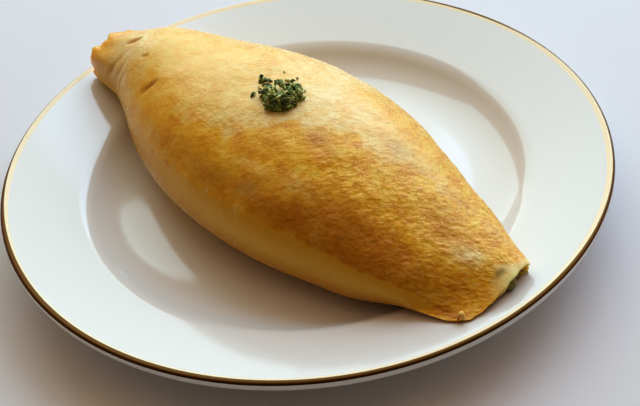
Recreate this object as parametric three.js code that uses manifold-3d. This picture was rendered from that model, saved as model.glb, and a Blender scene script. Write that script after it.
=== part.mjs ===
// A plate of omurice: a gilt-edged rim plate with a rice omelette lying across it.
// Millimetres, +Z up. The origin is the centre of the foot ring, on the table.
// +X runs along the omelette, from its gathered tail to its open mouth.
import * as THREE from 'three';
import { LoftGeometry } from 'three/addons/geometries/LoftGeometry.js';
import { mergeVertices } from 'three/addons/utils/BufferGeometryUtils.js';
import Module from 'manifold-3d';

const wasm = await Module();
wasm.setup();

// Space left between two pieces that touch
const GAP = 0.3;

// Plate
const PLATE_RADIUS = 125;
const PLATE_HEIGHT = 24;
const PLATE_SEGMENTS = 64;
const PLATE_CURVE_STEPS = 4;
const FLOOR_RADIUS = 66;
const FLOOR_TOP = 6.6;
const FLOOR_THICKNESS = 4.2;
const WELL_EDGE_RADIUS = 91.3;
const WELL_EDGE_HEIGHT = 15.4;
const WELL_EDGE_ROUND = 3;
const WELL_WALL_SLOPE = 0.8;
const WELL_SWEEP = 9;
const RIM_SLOPE = 0.248;
const RIM_THICKNESS = 4;
const LIP_ROUND = 1.6;
const LIP_THICKNESS = 4.2;
const LIP_BULGE = 0.7;
const FOOT_INNER_RADIUS = 69.5;
const FOOT_OUTER_RADIUS = 73;
const FOOT_SPLAY = 1.8;

// Omelette: its length runs from tail to mouth, and the lists are equally spaced along it
const TAIL_X = -116;
const MOUTH_X = 113;
const AXIS_Y = -5.5;
const HALF_WIDTHS = [13.3, 24, 37.1, 45.4, 48.2, 46, 38.1, 28.8, 17.6];
const TOP_HEIGHTS = [37.5, 47.8, 51.1, 54.6, 54.9, 51.7, 46, 36.6, 26.4];
const WRAP_THICKNESS = 2;
const WRAP_STATIONS = 36;
const WRAP_SIDES = 36;
const WAIST_SHARE = 0.36;
const ROOF_POWER = 0.95;
const BELLY_POWER = 0.72;

// The omelette lies on the well floor and bridges the well wall to the rim
const BRIDGE_START = 60;
const BRIDGE_END = 89;
const BRIDGE_CLEARANCE = 0.5;

// Gathered tail
const TAIL_REACH = 0.11;
const TAIL_LEAN = -5;
const TAIL_RECESS = 7;
const PLEAT_COUNT = 7;
const PLEAT_DEPTH = 0.075;
const PLEAT_TURN = 0.6;
const TAIL_RECESS_RINGS = [0.3, 0.55, 0.8];

// Open mouth
const MOUTH_REACH = 0.12;
const MOUTH_LEAN = -1.6;
const MOUTH_SKEW = 8.5;
const MOUTH_SLUMP_POWER = 3;
const MOUTH_WAIST_SHARE = 0.12;
const MOUTH_FAR_SETBACK = 5;
const MOUTH_UNDER_SETBACK = 9;
const MOUTH_OPENING_Y = 1.8;
const MOUTH_OPENING_HALF = 9.4;
const MOUTH_WALL = 1.3;
const MOUTH_SILL = 0.43;
const HOLLOW_START = 0.07;
const HOLLOW_STATIONS = 18;
const HOLLOW_CROWDING = 1.5;

// Fold slits near the tail: a point of the slit, its heading in plan and its length
const FOLD_SLITS = [
  { x: -62.6, y: -28.2, heading: 58, length: 9.5 },
  { x: -95.5, y: -12, heading: 51, length: 8.5 },
  { x: -79.1, y: -17.7, heading: 41, length: 4.5 },
  { x: -75.1, y: -23, heading: 46, length: 3.6 },
];
const SLIT_WIDTH_SHARE = 0.3;
const SLIT_DEPTH = 1.3;
const SLOPE_STEP = 0.01;

// Rice filling
const FILLING_START = 0.074;
const FILLING_FRONT_STATION = 15;
const FILLING_FRONT_RINGS = [0.86, 0.6, 0.3];
const FILLING_FRONT_BULGE = 1.6;
const FILLING_CLEARANCE = 0.45;
const GRAIN_LENGTH = 6.4;
const GRAIN_WIDTH = 2.8;
const GRAIN_COUNT = 20;
const GRAIN_PROUD = { least: 0.3, most: 0.7 };
const GRAIN_TILT = 0.6;
const GRAIN_CLEARANCE = 0.36;
const GRAIN_SEED = 11;

// Green pea at the mouth
const PEA_RADIUS = 3;
const PEA_SQUASH = 0.85;
const PEA_X = 109.5;
const PEA_Y = 0.6;

// Chopped parsley on the ridge
const PARSLEY_X = -2.4;
const PARSLEY_Y = -6.6;
const PARSLEY_HEADING = 46;
const PARSLEY_LENGTH = 21.5;
const PARSLEY_WIDTH = 20.5;
const PARSLEY_HEIGHT = 7.2;
const PARSLEY_CORE_SHARE = 0.74;
const LEAF_LENGTH = 4.2;
const LEAF_SHAPE = [1, 0.7, 0.42];
const LEAF_SIZES = { least: 0.65, most: 1.15 };
const LEAF_SPREAD = 0.86;
const LEAF_TURN = 0.618;
const LEAF_STRAY = 0.1;
const LEAF_COUNT = 44;
const LEAF_SEED = 5;

const degrees = THREE.MathUtils.degToRad;
const lerp = THREE.MathUtils.lerp;
const smoothstep = THREE.MathUtils.smoothstep;

// Repeatable random numbers from 0 to 1
function randomFrom(seed) {
  let state = seed;
  return () => {
    state = (state * 1664525 + 1013904223) % 4294967296;
    return state / 4294967296;
  };
}

// Smooth curve through equally spaced values
function along(share, values) {
  const last = values.length - 1;
  const place = THREE.MathUtils.clamp(share, 0, 1) * last;
  const i = Math.min(Math.floor(place), last - 1);
  const t = place - i;
  const slope = (k) => {
    const before = Math.max(k - 1, 0);
    const after = Math.min(k + 1, last);
    return (values[after] - values[before]) / (after - before);
  };
  const start = values[i] * (1 + 2 * t) * (1 - t) ** 2 + slope(i) * t * (1 - t) ** 2;
  const end = values[i + 1] * t * t * (3 - 2 * t) + slope(i + 1) * t * t * (t - 1);
  return start + end;
}

// A closed solid from a geometry: shared corners are merged and flat triangles dropped
function solidOf(geometry) {
  const bare = new THREE.BufferGeometry();
  bare.setAttribute('position', geometry.attributes.position);
  bare.setIndex(geometry.index);
  const merged = mergeVertices(bare, 1e-4);
  const corners = merged.index.array;
  const triangles = [];
  for (let i = 0; i < corners.length; i += 3) {
    const [a, b, c] = corners.slice(i, i + 3);
    if (a !== b && b !== c && c !== a) {
      triangles.push(a, b, c);
    }
  }
  return new wasm.Manifold(new wasm.Mesh({
    numProp: 3,
    vertProperties: new Float32Array(merged.attributes.position.array),
    triVerts: new Uint32Array(triangles),
  }));
}

// The largest connected body of a solid, without loose scraps or sealed hollows
function mainBody(solid) {
  return solid.decompose().reduce((best, body) => (body.volume() > best.volume() ? body : best));
}

// A named mesh of a solid
function meshOf(name, solid, finish) {
  const { vertProperties, triVerts } = solid.getMesh();
  const geometry = new THREE.BufferGeometry();
  geometry.setAttribute('position', new THREE.BufferAttribute(vertProperties, 3));
  geometry.setIndex(new THREE.BufferAttribute(triVerts, 1));
  geometry.computeVertexNormals();
  const mesh = new THREE.Mesh(geometry, new THREE.MeshStandardMaterial(finish));
  mesh.name = name;
  return mesh;
}

// Height of the rim's upper face at a radius
function rimTop(radius) {
  return WELL_EDGE_HEIGHT + (radius - WELL_EDGE_RADIUS) * RIM_SLOPE;
}

// Height at which the omelette's underside lies, above the plate
function restHeight(radius) {
  if (radius > BRIDGE_END) {
    return rimTop(radius) + BRIDGE_CLEARANCE;
  }
  const floor = FLOOR_TOP + GAP;
  const end = rimTop(BRIDGE_END) + BRIDGE_CLEARANCE;
  const t = Math.max(radius - BRIDGE_START, 0) / (BRIDGE_END - BRIDGE_START);
  return floor + (end - floor) * t * t * (2 - t);
}

// Plate: one turned profile, from the underside's middle round the lip to the well floor's middle
function plate() {
  const underside = FLOOR_TOP - FLOOR_THICKNESS;
  const lipInner = PLATE_RADIUS - 2 * LIP_ROUND;
  const profile = new THREE.Path();
  profile.moveTo(0, underside);
  profile.lineTo(FOOT_INNER_RADIUS - FOOT_SPLAY, underside);
  profile.lineTo(FOOT_INNER_RADIUS, 0);
  profile.lineTo(FOOT_OUTER_RADIUS, 0);
  profile.lineTo(FOOT_OUTER_RADIUS + FOOT_SPLAY, underside);
  profile.quadraticCurveTo(
    WELL_EDGE_RADIUS - RIM_THICKNESS, WELL_EDGE_HEIGHT - 2 * RIM_THICKNESS,
    WELL_EDGE_RADIUS + RIM_THICKNESS, rimTop(WELL_EDGE_RADIUS) - RIM_THICKNESS,
  );
  profile.lineTo(lipInner, rimTop(lipInner) - LIP_THICKNESS);
  profile.bezierCurveTo(
    PLATE_RADIUS + LIP_BULGE, rimTop(lipInner) - LIP_THICKNESS,
    PLATE_RADIUS + LIP_BULGE, PLATE_HEIGHT,
    PLATE_RADIUS - LIP_ROUND, PLATE_HEIGHT,
  );
  profile.quadraticCurveTo(lipInner, PLATE_HEIGHT, lipInner - LIP_ROUND, rimTop(lipInner - LIP_ROUND));
  profile.lineTo(WELL_EDGE_RADIUS + WELL_EDGE_ROUND, rimTop(WELL_EDGE_RADIUS + WELL_EDGE_ROUND));
  profile.quadraticCurveTo(
    WELL_EDGE_RADIUS, WELL_EDGE_HEIGHT,
    WELL_EDGE_RADIUS - WELL_EDGE_ROUND, WELL_EDGE_HEIGHT - WELL_WALL_SLOPE * WELL_EDGE_ROUND,
  );
  profile.bezierCurveTo(
    WELL_EDGE_RADIUS - WELL_SWEEP, WELL_EDGE_HEIGHT - WELL_WALL_SLOPE * WELL_SWEEP,
    FLOOR_RADIUS + WELL_SWEEP, FLOOR_TOP,
    FLOOR_RADIUS, FLOOR_TOP,
  );
  profile.lineTo(0, FLOOR_TOP);
  const geometry = new THREE.LatheGeometry(profile.getPoints(PLATE_CURVE_STEPS), PLATE_SEGMENTS);
  geometry.rotateX(Math.PI / 2);
  return meshOf('plate', solidOf(geometry), { color: 0xeceae6, roughness: 0.15, metalness: 0 });
}

// A point of the omelette's skin at a share of its length and a turn round its axis.
// Turn 0 points to +Y and a quarter turn points up; inset moves the skin inwards.
function skinPoint(share, turn, inset = 0) {
  const toTail = 1 - smoothstep(share, 0, TAIL_REACH);
  const toMouth = smoothstep(share, 1 - MOUTH_REACH, 1);
  const across = Math.cos(turn);
  const rise = Math.sin(turn);
  const setback = MOUTH_FAR_SETBACK * ((1 + across) / 2) ** 2
    + MOUTH_UNDER_SETBACK * Math.max(-rise, 0);
  const x = lerp(TAIL_X, MOUTH_X - setback * toMouth, share);
  const base = restHeight(Math.abs(x)) + inset;
  const top = along(share, TOP_HEIGHTS) - inset;
  const waist = lerp(base, top, lerp(WAIST_SHARE, MOUTH_WAIST_SHARE, toMouth));
  const pleat = 1 + PLEAT_DEPTH * toTail * Math.cos(PLEAT_COUNT * turn + PLEAT_TURN);
  const half = (along(share, HALF_WIDTHS) - inset) * pleat;
  const skew = MOUTH_SKEW * toMouth * Math.max(rise, 0);
  const middle = AXIS_Y + TAIL_LEAN * toTail + MOUTH_LEAN * toMouth + skew;
  const y = middle + half * Math.sign(across) * Math.abs(across) ** ROOF_POWER;
  const reach = rise > 0 ? top - waist : waist - base;
  const slump = across < 0 ? lerp(ROOF_POWER, MOUTH_SLUMP_POWER, toMouth) : ROOF_POWER;
  const power = rise > 0 ? slump : BELLY_POWER;
  const z = waist + Math.sign(rise) * reach * pleat * Math.abs(rise) ** power;
  return new THREE.Vector3(x, y, Math.max(z, restHeight(Math.hypot(x, y)) + inset));
}

// A point of the hollow inside the wrap, which narrows to the opening at the mouth
function hollowPoint(share, turn, clearance = 0) {
  const inset = WRAP_THICKNESS + clearance;
  const point = skinPoint(share, turn, inset);
  const toMouth = smoothstep(share, 1 - MOUTH_REACH, 1);
  const half = MOUTH_OPENING_HALF - clearance;
  const floor = restHeight(Math.hypot(point.x, MOUTH_OPENING_Y)) + clearance;
  const arch = along(share, TOP_HEIGHTS) - MOUTH_WALL - clearance - floor;
  const openingY = MOUTH_OPENING_Y + half * Math.cos(turn);
  const openingZ = floor + MOUTH_SILL + arch * Math.max(Math.sin(turn), 0);
  point.y = lerp(point.y, openingY, toMouth);
  point.z = lerp(point.z, openingZ, toMouth);
  return point;
}

// One ring of points round the omelette
function ring(pointAt) {
  const points = [];
  for (let side = 0; side < WRAP_SIDES; side += 1) {
    points.push(pointAt(2 * Math.PI * side / WRAP_SIDES));
  }
  return points;
}

// A ring drawn towards its middle by a factor and moved along the omelette
function shrunk(points, factor, shiftX = 0) {
  const middle = new THREE.Vector3();
  points.forEach((point) => middle.addScaledVector(point, 1 / points.length));
  return points.map((point) => {
    const moved = middle.clone().lerp(point, factor);
    moved.x += shiftX;
    return moved;
  });
}

// A closed solid through rings; its first and last rings close on their middles
function loft(rings) {
  const start = shrunk(rings[0], 0);
  const end = shrunk(rings[rings.length - 1], 0);
  return solidOf(new LoftGeometry([start, ...rings, end]));
}

// Rings of a surface at shares of the omelette's length
function ringsAt(shares, pointAt) {
  return shares.map((share) => ring((turn) => pointAt(share, turn)));
}

// Equal steps from one share of the length to another
function evenShares(from, to, steps) {
  return Array.from({ length: steps + 1 }, (_, i) => lerp(from, to, i / steps));
}

// The hollow's stations, closer together towards the mouth
function hollowShares() {
  return evenShares(1, 0, HOLLOW_STATIONS).map((rest) => lerp(1, HOLLOW_START, rest ** HOLLOW_CROWDING));
}

// A shallow lens that presses one fold slit into the skin
function slitCutter({ x, y, heading, length }) {
  const share = (x - TAIL_X) / (MOUTH_X - TAIL_X);
  const half = along(share, HALF_WIDTHS);
  const turn = Math.acos((y - AXIS_Y) / half);
  const place = skinPoint(share, turn);
  const forward = skinPoint(share + SLOPE_STEP, turn).sub(skinPoint(share - SLOPE_STEP, turn));
  const around = skinPoint(share, turn + SLOPE_STEP).sub(skinPoint(share, turn - SLOPE_STEP));
  const outward = forward.clone().cross(around).normalize();
  if (outward.z < 0) {
    outward.negate();
  }
  const lengthways = new THREE.Vector3(Math.cos(degrees(heading)), Math.sin(degrees(heading)), 0);
  lengthways.addScaledVector(outward, -lengthways.dot(outward)).normalize();
  const sideways = outward.clone().cross(lengthways);
  const lens = new THREE.SphereGeometry(1, 10, 8);
  lens.scale(length / 2, length * SLIT_WIDTH_SHARE / 2, SLIT_DEPTH);
  lens.applyMatrix4(new THREE.Matrix4().makeBasis(lengthways, sideways, outward).setPosition(place));
  return solidOf(lens);
}

// Egg wrap: one skin from the tail's recess over the outside, round the mouth and into the hollow
function eggWrap() {
  const outside = ringsAt(evenShares(0, 1, WRAP_STATIONS), skinPoint);
  const recess = TAIL_RECESS_RINGS.map((factor) => shrunk(outside[0], factor, TAIL_RECESS * (1 - factor)));
  const hollow = ringsAt(hollowShares().reverse(), hollowPoint);
  const skin = loft([...recess, ...outside, ...hollow]);
  const pressed = FOLD_SLITS.reduce((solid, slit) => solid.subtract(slitCutter(slit)), skin);
  return meshOf('egg_wrap', pressed, { color: 0xd9a648, roughness: 0.45, metalness: 0 });
}

// The room inside the wrap, up to the mouth
function hollowRoom() {
  const shares = hollowShares().slice(1);
  return loft(ringsAt(shares, (share, turn) => hollowPoint(share, turn, GRAIN_CLEARANCE)));
}

// One cooked grain, turned and placed
function grain(place, spin) {
  const geometry = new THREE.SphereGeometry(1, 6, 4);
  geometry.scale(GRAIN_WIDTH / 2, GRAIN_LENGTH / 2, GRAIN_WIDTH / 2);
  geometry.applyMatrix4(new THREE.Matrix4().makeRotationFromEuler(spin).setPosition(place));
  return solidOf(geometry);
}

// The pea's middle: it lies on the rim, in the mouth
function peaMiddle() {
  const rim = rimTop(Math.hypot(PEA_X, PEA_Y) + PEA_RADIUS / 2);
  return new THREE.Vector3(PEA_X, PEA_Y, rim + GAP + PEA_RADIUS * PEA_SQUASH);
}

// A pea-sized ball, with room round it if asked
function peaBall(clearance = 0) {
  const middle = peaMiddle();
  const geometry = new THREE.IcosahedronGeometry(PEA_RADIUS + clearance, 2);
  geometry.scale(1, 1, PEA_SQUASH);
  geometry.translate(middle.x, middle.y, middle.z);
  return solidOf(geometry);
}

// Rice filling: a core through the whole omelette with grains on the end that shows at the mouth
function riceFilling() {
  const shares = [FILLING_START, ...hollowShares().slice(1, FILLING_FRONT_STATION + 1)];
  const frontShare = shares[FILLING_FRONT_STATION];
  const core = ringsAt(shares, (share, turn) => hollowPoint(share, turn, FILLING_CLEARANCE));
  const front = FILLING_FRONT_RINGS.map((factor) => {
    const bulge = FILLING_FRONT_BULGE * (1 - factor * factor);
    return shrunk(core[FILLING_FRONT_STATION], factor, bulge);
  });
  const random = randomFrom(GRAIN_SEED);
  const heart = hollowPoint(frontShare, Math.PI / 2, GRAIN_LENGTH);
  const grains = [];
  for (let i = 0; i < GRAIN_COUNT; i += 1) {
    const edge = hollowPoint(frontShare, 2 * Math.PI * random(), GRAIN_WIDTH / 2);
    const place = heart.clone().lerp(edge, Math.sqrt(random()));
    place.x += GRAIN_WIDTH * lerp(GRAIN_PROUD.least, GRAIN_PROUD.most, random());
    const spin = new THREE.Euler(Math.PI * random(), GRAIN_TILT * (random() - 0.5), Math.PI * random());
    grains.push(grain(place, spin));
  }
  const heap = grains.reduce((all, one) => all.add(one)).intersect(hollowRoom());
  const filling = loft([...core, ...front]).add(heap).subtract(peaBall(GAP));
  return meshOf('rice_filling', mainBody(filling), { color: 0xc9803a, roughness: 0.5, metalness: 0 });
}

// Green pea
function greenPea() {
  return meshOf('green_pea', peaBall(), { color: 0x5d7a24, roughness: 0.4, metalness: 0 });
}

// Parsley: a low core with chopped leaf bits fused on, cut to the egg's skin underneath
function parsley() {
  const random = randomFrom(LEAF_SEED);
  const ground = along((PARSLEY_X - TAIL_X) / (MOUTH_X - TAIL_X), TOP_HEIGHTS);
  const lie = new THREE.Matrix4().makeRotationZ(degrees(PARSLEY_HEADING));
  lie.setPosition(PARSLEY_X, PARSLEY_Y, ground);
  const core = new THREE.SphereGeometry(1, 14, 10);
  core.rotateX(Math.PI / 2);
  core.scale(
    PARSLEY_CORE_SHARE * PARSLEY_LENGTH / 2,
    PARSLEY_CORE_SHARE * PARSLEY_WIDTH / 2,
    PARSLEY_CORE_SHARE * PARSLEY_HEIGHT,
  );
  core.applyMatrix4(lie);
  let heap = solidOf(core);
  for (let i = 0; i < LEAF_COUNT; i += 1) {
    const around = 2 * Math.PI * (i * LEAF_TURN + LEAF_STRAY * random());
    const out = Math.sqrt((i + 0.5) / LEAF_COUNT);
    const size = LEAF_LENGTH * lerp(LEAF_SIZES.least, LEAF_SIZES.most, random());
    const leaf = new THREE.IcosahedronGeometry(size / 2, 0);
    leaf.scale(...LEAF_SHAPE);
    const spin = new THREE.Euler(Math.PI * random(), Math.PI * random(), Math.PI * random());
    const rise = PARSLEY_CORE_SHARE * Math.sqrt(1 - out * out) + LEAF_STRAY * random();
    const place = new THREE.Vector3(
      LEAF_SPREAD * out * Math.cos(around) * PARSLEY_LENGTH / 2,
      LEAF_SPREAD * out * Math.sin(around) * PARSLEY_WIDTH / 2,
      PARSLEY_HEIGHT * rise,
    );
    leaf.applyMatrix4(new THREE.Matrix4().makeRotationFromEuler(spin).setPosition(place));
    leaf.applyMatrix4(lie);
    heap = heap.add(solidOf(leaf));
  }
  const shares = evenShares(0, 1, WRAP_STATIONS).slice(WRAP_STATIONS / 4, -WRAP_STATIONS / 4);
  const egg = loft(ringsAt(shares, (share, turn) => skinPoint(share, turn, -GAP)));
  return meshOf('parsley', mainBody(heap.subtract(egg)), { color: 0x2f4a1c, roughness: 0.6, metalness: 0 });
}

const omurice = new THREE.Group();
omurice.add(plate(), eggWrap(), riceFilling(), greenPea(), parsley());

export default omurice;
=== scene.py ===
"""A plate of omurice, dressed: a gilt-edged rim plate with a rice omelette lying across it.

Sizes and places are millimetres in the part's own frame, and MM turns them into metres. The origin is the
centre of the foot ring on the table, +X runs along the omelette from its gathered tail to its open mouth,
and +Z is up.

On the omelette, a share is a place along it, from 0 at the tail to 1 at the mouth, and a turn is a place
round it, from 0 at the far side over a quarter turn on top to half a turn at the near side. Fields give
turns in degrees, and methods take them in radians. A span holds where an effect is nil and where it is full,
or the two ends of a value.
"""
import logging
import math
from collections.abc import Sequence
from dataclasses import dataclass
from enum import Enum
from typing import Any

import bpy
import numpy as np
from bpy.types import Material, Node, NodeSocket, NodeTree, Object
from mathutils import Matrix, Vector


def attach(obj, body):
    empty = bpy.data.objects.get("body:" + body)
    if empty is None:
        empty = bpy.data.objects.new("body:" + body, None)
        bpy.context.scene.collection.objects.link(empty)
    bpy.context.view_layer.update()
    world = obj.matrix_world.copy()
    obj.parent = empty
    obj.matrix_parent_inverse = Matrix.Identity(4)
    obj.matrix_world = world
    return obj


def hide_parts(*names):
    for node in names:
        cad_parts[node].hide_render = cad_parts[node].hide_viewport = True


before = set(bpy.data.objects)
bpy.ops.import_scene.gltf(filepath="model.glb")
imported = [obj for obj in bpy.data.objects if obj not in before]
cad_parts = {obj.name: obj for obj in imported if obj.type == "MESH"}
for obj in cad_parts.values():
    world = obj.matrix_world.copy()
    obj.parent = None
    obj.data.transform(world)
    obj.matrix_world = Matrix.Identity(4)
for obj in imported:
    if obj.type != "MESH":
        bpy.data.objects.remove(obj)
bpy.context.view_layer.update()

Array = np.ndarray
Span = tuple[float, float]
Point = tuple[float, float]
Triple = tuple[float, float, float]
Inputs = dict[str | int, Any] | Sequence[Any]

MM = 0.001
TAU = 2 * math.pi
GOLDEN_TURN = math.pi * (3 - math.sqrt(5))
FINE_STEPS = 2001
NOISE_MIDDLE = 0.5
TINY = 1e-9
BODY = "root"
GILT = "gilt"
BIT_SIZE = "size"
log = logging.getLogger("omurice")


class Mask(Enum):
    """Point attributes of the egg skin, from 0 to 1, that its relief and its finish read."""

    BAND = "band"
    CREPE = "crepe"
    BROWNED = "browned"
    LIP = "lip"
    INSIDE = "inside"
    SLIT = "slit"
    GREEN = "green_below"
    MAUVE = "mauve_below"
    PALE = "pale"
    CREASE = "crease"


class Input(Enum):
    """Kinds of named inputs of a geometry tree."""

    GEOMETRY = "NodeSocketGeometry"
    NUMBER = "NodeSocketFloat"
    COUNT = "NodeSocketInt"
    FINISH = "NodeSocketMaterial"
    SHAPES = "NodeSocketCollection"


def to_linear(colour: str) -> tuple[float, float, float, float]:
    """Turns an sRGB hex colour into linear light, by the sRGB curve.

    Args:
        colour: the colour as "#RRGGBB".

    Returns:
        Linear red, green, blue and a full alpha.
    """
    parts = [int(colour[i:i + 2], 16) / 255 for i in (1, 3, 5)]
    red, green, blue = (c / 12.92 if c <= 0.04045 else ((c + 0.055) / 1.055) ** 2.4 for c in parts)
    return red, green, blue, 1.0


def per_metre(size: float) -> float:
    """Gives the texture scale whose features are about the given size in millimetres."""
    return 1 / (size * MM)


def lerp(start: Any, end: Any, share: Any) -> Any:
    """Mixes two values by a share from 0 to 1."""
    return start + (end - start) * share


def eased(value: Array, *spans: Span) -> Array:
    """Eases values by smooth rises and falls, multiplied together.

    Args:
        value: the values to ease.
        spans: where each factor is 0 and where it is 1.

    Returns:
        Values from 0 to 1.
    """
    shares = [np.clip((np.asarray(value, float) - none) / (full - none), 0, 1) for none, full in spans]
    return math.prod(t * t * (3 - 2 * t) for t in shares)


def along(share: Array, values: Sequence[float]) -> Array:
    """Follows a smooth curve through equally spaced values.

    Args:
        share: places along the curve, from 0 to 1.
        values: the values that it passes through.

    Returns:
        The curve's value at each place.
    """
    knots = np.asarray(values, float)
    slopes = np.gradient(knots)
    place = np.clip(share, 0, 1) * (len(knots) - 1)
    i = np.minimum(place.astype(int), len(knots) - 2)
    t = place - i
    start = knots[i] * (1 + 2 * t) * (1 - t) ** 2 + slopes[i] * t * (1 - t) ** 2
    end = knots[i + 1] * t ** 2 * (3 - 2 * t) + slopes[i + 1] * t ** 2 * (t - 1)
    return start + end


def waves(value: Array, terms: Sequence[Triple]) -> Array:
    """Adds up sine waves, each given as its height, its rate and its shift in radians."""
    return sum(height * np.sin(rate * value + shift) for height, rate, shift in terms)


def swells(turn: Array, terms: Sequence[Triple]) -> Array:
    """Adds up soft bumps round a ring.

    Args:
        turn: places round the ring, in radians.
        terms: each bump's middle and reach in degrees, and its height.

    Returns:
        The sum at each place.
    """
    total = np.zeros(np.shape(turn))
    for middle, reach, height in terms:
        away = (np.degrees(turn) - middle + 180) % 360 - 180
        total += height * np.exp(-(away / reach) ** 2)
    return total


def crowded(fine: Array, density: Array, steps: int) -> Array:
    """Spreads places over a range, closer together where a density is higher.

    Args:
        fine: close-set values over the range.
        density: the density at each of them.
        steps: the number of steps between the range's ends.

    Returns:
        The places, both ends included.
    """
    gathered = np.concatenate([[0], np.cumsum((density[1:] + density[:-1]) / 2)])
    return np.interp(np.linspace(0, gathered[-1], steps + 1), gathered, fine)


def curved(start: Point, *curves: tuple[int, Sequence[Point]]) -> Array:
    """Samples Bezier curves that run on from each other, without the first point.

    Args:
        start: where the first curve starts.
        curves: the number of points to take from each curve, and its further corners.

    Returns:
        An array of points.
    """
    rows = []
    for steps, corners in curves:
        order = len(corners)
        t = np.linspace(0, 1, steps + 1)[1:, None]
        shares = [math.comb(order, k) * t ** k * (1 - t) ** (order - k) for k in range(order + 1)]
        rows.append(sum(share * np.array(corner) for share, corner in zip(shares, [start, *corners])))
        start = corners[-1]
    return np.concatenate(rows)


def circle(count: int) -> Array:
    """Gives equal turns round a circle, in radians."""
    return np.arange(count) * TAU / count


def in_plan(forward: Array, sideways: Array, heading: float) -> tuple[Array, Array]:
    """Turns distances along and across a heading in degrees into x and y.

    Args:
        forward: distances along the heading.
        sideways: distances to its left.
        heading: the heading, from +X towards +Y.

    Returns:
        The x and y of each place.
    """
    cos, sin = math.cos(math.radians(heading)), math.sin(math.radians(heading))
    return forward * cos - sideways * sin, forward * sin + sideways * cos


def connect(node: Node, inputs: Inputs) -> None:
    """Sets or links inputs of a node.

    Args:
        node: the node.
        inputs: values, sockets or nodes, by the inputs' names or numbers or in their order. A node stands
            for its first output in use.
    """
    for title, value in (inputs.items() if isinstance(inputs, dict) else enumerate(inputs)):
        if isinstance(value, Node):
            value = next(output for output in value.outputs if output.enabled)
        if isinstance(value, NodeSocket):
            node.id_data.links.new(value, node.inputs[title])
        else:
            node.inputs[title].default_value = value


def add_node(tree: NodeTree, kind: str, inputs: Inputs = (), stops: Sequence[tuple[float, str]] = (),
             **settings: Any) -> Node:
    """Adds a node with its settings and links.

    Args:
        tree: the tree that gets the node.
        kind: the node's type.
        inputs: its inputs, as connect takes them.
        stops: places and colours, where the node is a colour ramp.
        settings: its properties.

    Returns:
        The new node.
    """
    node = tree.nodes.new(kind)
    for name, value in settings.items():
        setattr(node, name, value)
    connect(node, inputs)
    for i, (place, colour) in enumerate(stops):
        ramp = node.color_ramp.elements
        stop = ramp[i] if i < 2 else ramp.new(place)
        stop.position = place
        stop.color = to_linear(colour)
    return node


def new_finish(name: str) -> tuple[Material, NodeTree, Node]:
    """Starts a finish.

    Args:
        name: the real material's name.

    Returns:
        The material, its tree and its shader.
    """
    material = bpy.data.materials.new(name)
    material.use_nodes = True
    return material, material.node_tree, material.node_tree.nodes["Principled BSDF"]


class ShapeTree:
    """A geometry tree with named inputs. It runs once on a piece, which keeps the result as its mesh."""

    def __init__(self, name: str, inputs: dict[str, tuple[Input, Any]]) -> None:
        """Starts a tree.

        Args:
            name: the tree's name.
            inputs: kind and value of each named input.
        """
        self.tree = bpy.data.node_groups.new(name, "GeometryNodeTree")
        self.values: dict[str, Any] = {}
        self.tree.interface.new_socket("Geometry", in_out="INPUT", socket_type=Input.GEOMETRY.value)
        for title, (kind, value) in inputs.items():
            socket = self.tree.interface.new_socket(title, in_out="INPUT", socket_type=kind.value)
            self.values[socket.identifier] = value
        self.tree.interface.new_socket("Geometry", in_out="OUTPUT", socket_type=Input.GEOMETRY.value)
        self.inputs = self.tree.nodes.new("NodeGroupInput").outputs

    def add(self, kind: str, inputs: Inputs = (), **settings: Any) -> Node:
        """Adds a node to this tree, as add_node does."""
        return add_node(self.tree, kind, inputs, **settings)

    def run(self, piece: Object, shape: Node, finishes: dict[str, Node | None]) -> None:
        """Ends the tree, runs it on a piece and keeps the result as the piece's plain mesh.

        Args:
            piece: the object whose mesh goes in and is replaced.
            shape: the node that gives the made shape.
            finishes: the faces that take each finish, by the name of the finish's input; None is all faces.
        """
        shape = self.add("GeometryNodeRealizeInstances", {"Geometry": shape})
        for title, faces in finishes.items():
            links = {"Geometry": shape, "Material": self.inputs[title]}
            if faces is not None:
                links["Selection"] = faces
            shape = self.add("GeometryNodeSetMaterial", links)
        self.add("NodeGroupOutput", {"Geometry": shape})
        modifier = piece.modifiers.new(self.tree.name, "NODES")
        modifier.node_group = self.tree
        for identifier, value in self.values.items():
            modifier[identifier] = value
        depsgraph = bpy.context.evaluated_depsgraph_get()
        made = bpy.data.meshes.new_from_object(
            piece.evaluated_get(depsgraph), preserve_all_data_layers=True, depsgraph=depsgraph)
        piece.modifiers.remove(modifier)
        piece.data = made
        made.name = piece.name


def new_piece(name: str, points: Array, faces: Sequence[Sequence[int]]) -> Object:
    """Makes a smooth-shaded mesh object in the scene.

    Args:
        name: the piece's name.
        points: its corners in millimetres.
        faces: the corner numbers of each face, outwards.

    Returns:
        The new object, at the origin.
    """
    mesh = bpy.data.meshes.new(name)
    mesh.from_pydata((np.asarray(points) * MM).tolist(), [], [list(face) for face in faces])
    mesh.shade_smooth()
    piece = bpy.data.objects.new(name, mesh)
    bpy.context.scene.collection.objects.link(piece)
    return piece


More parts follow.
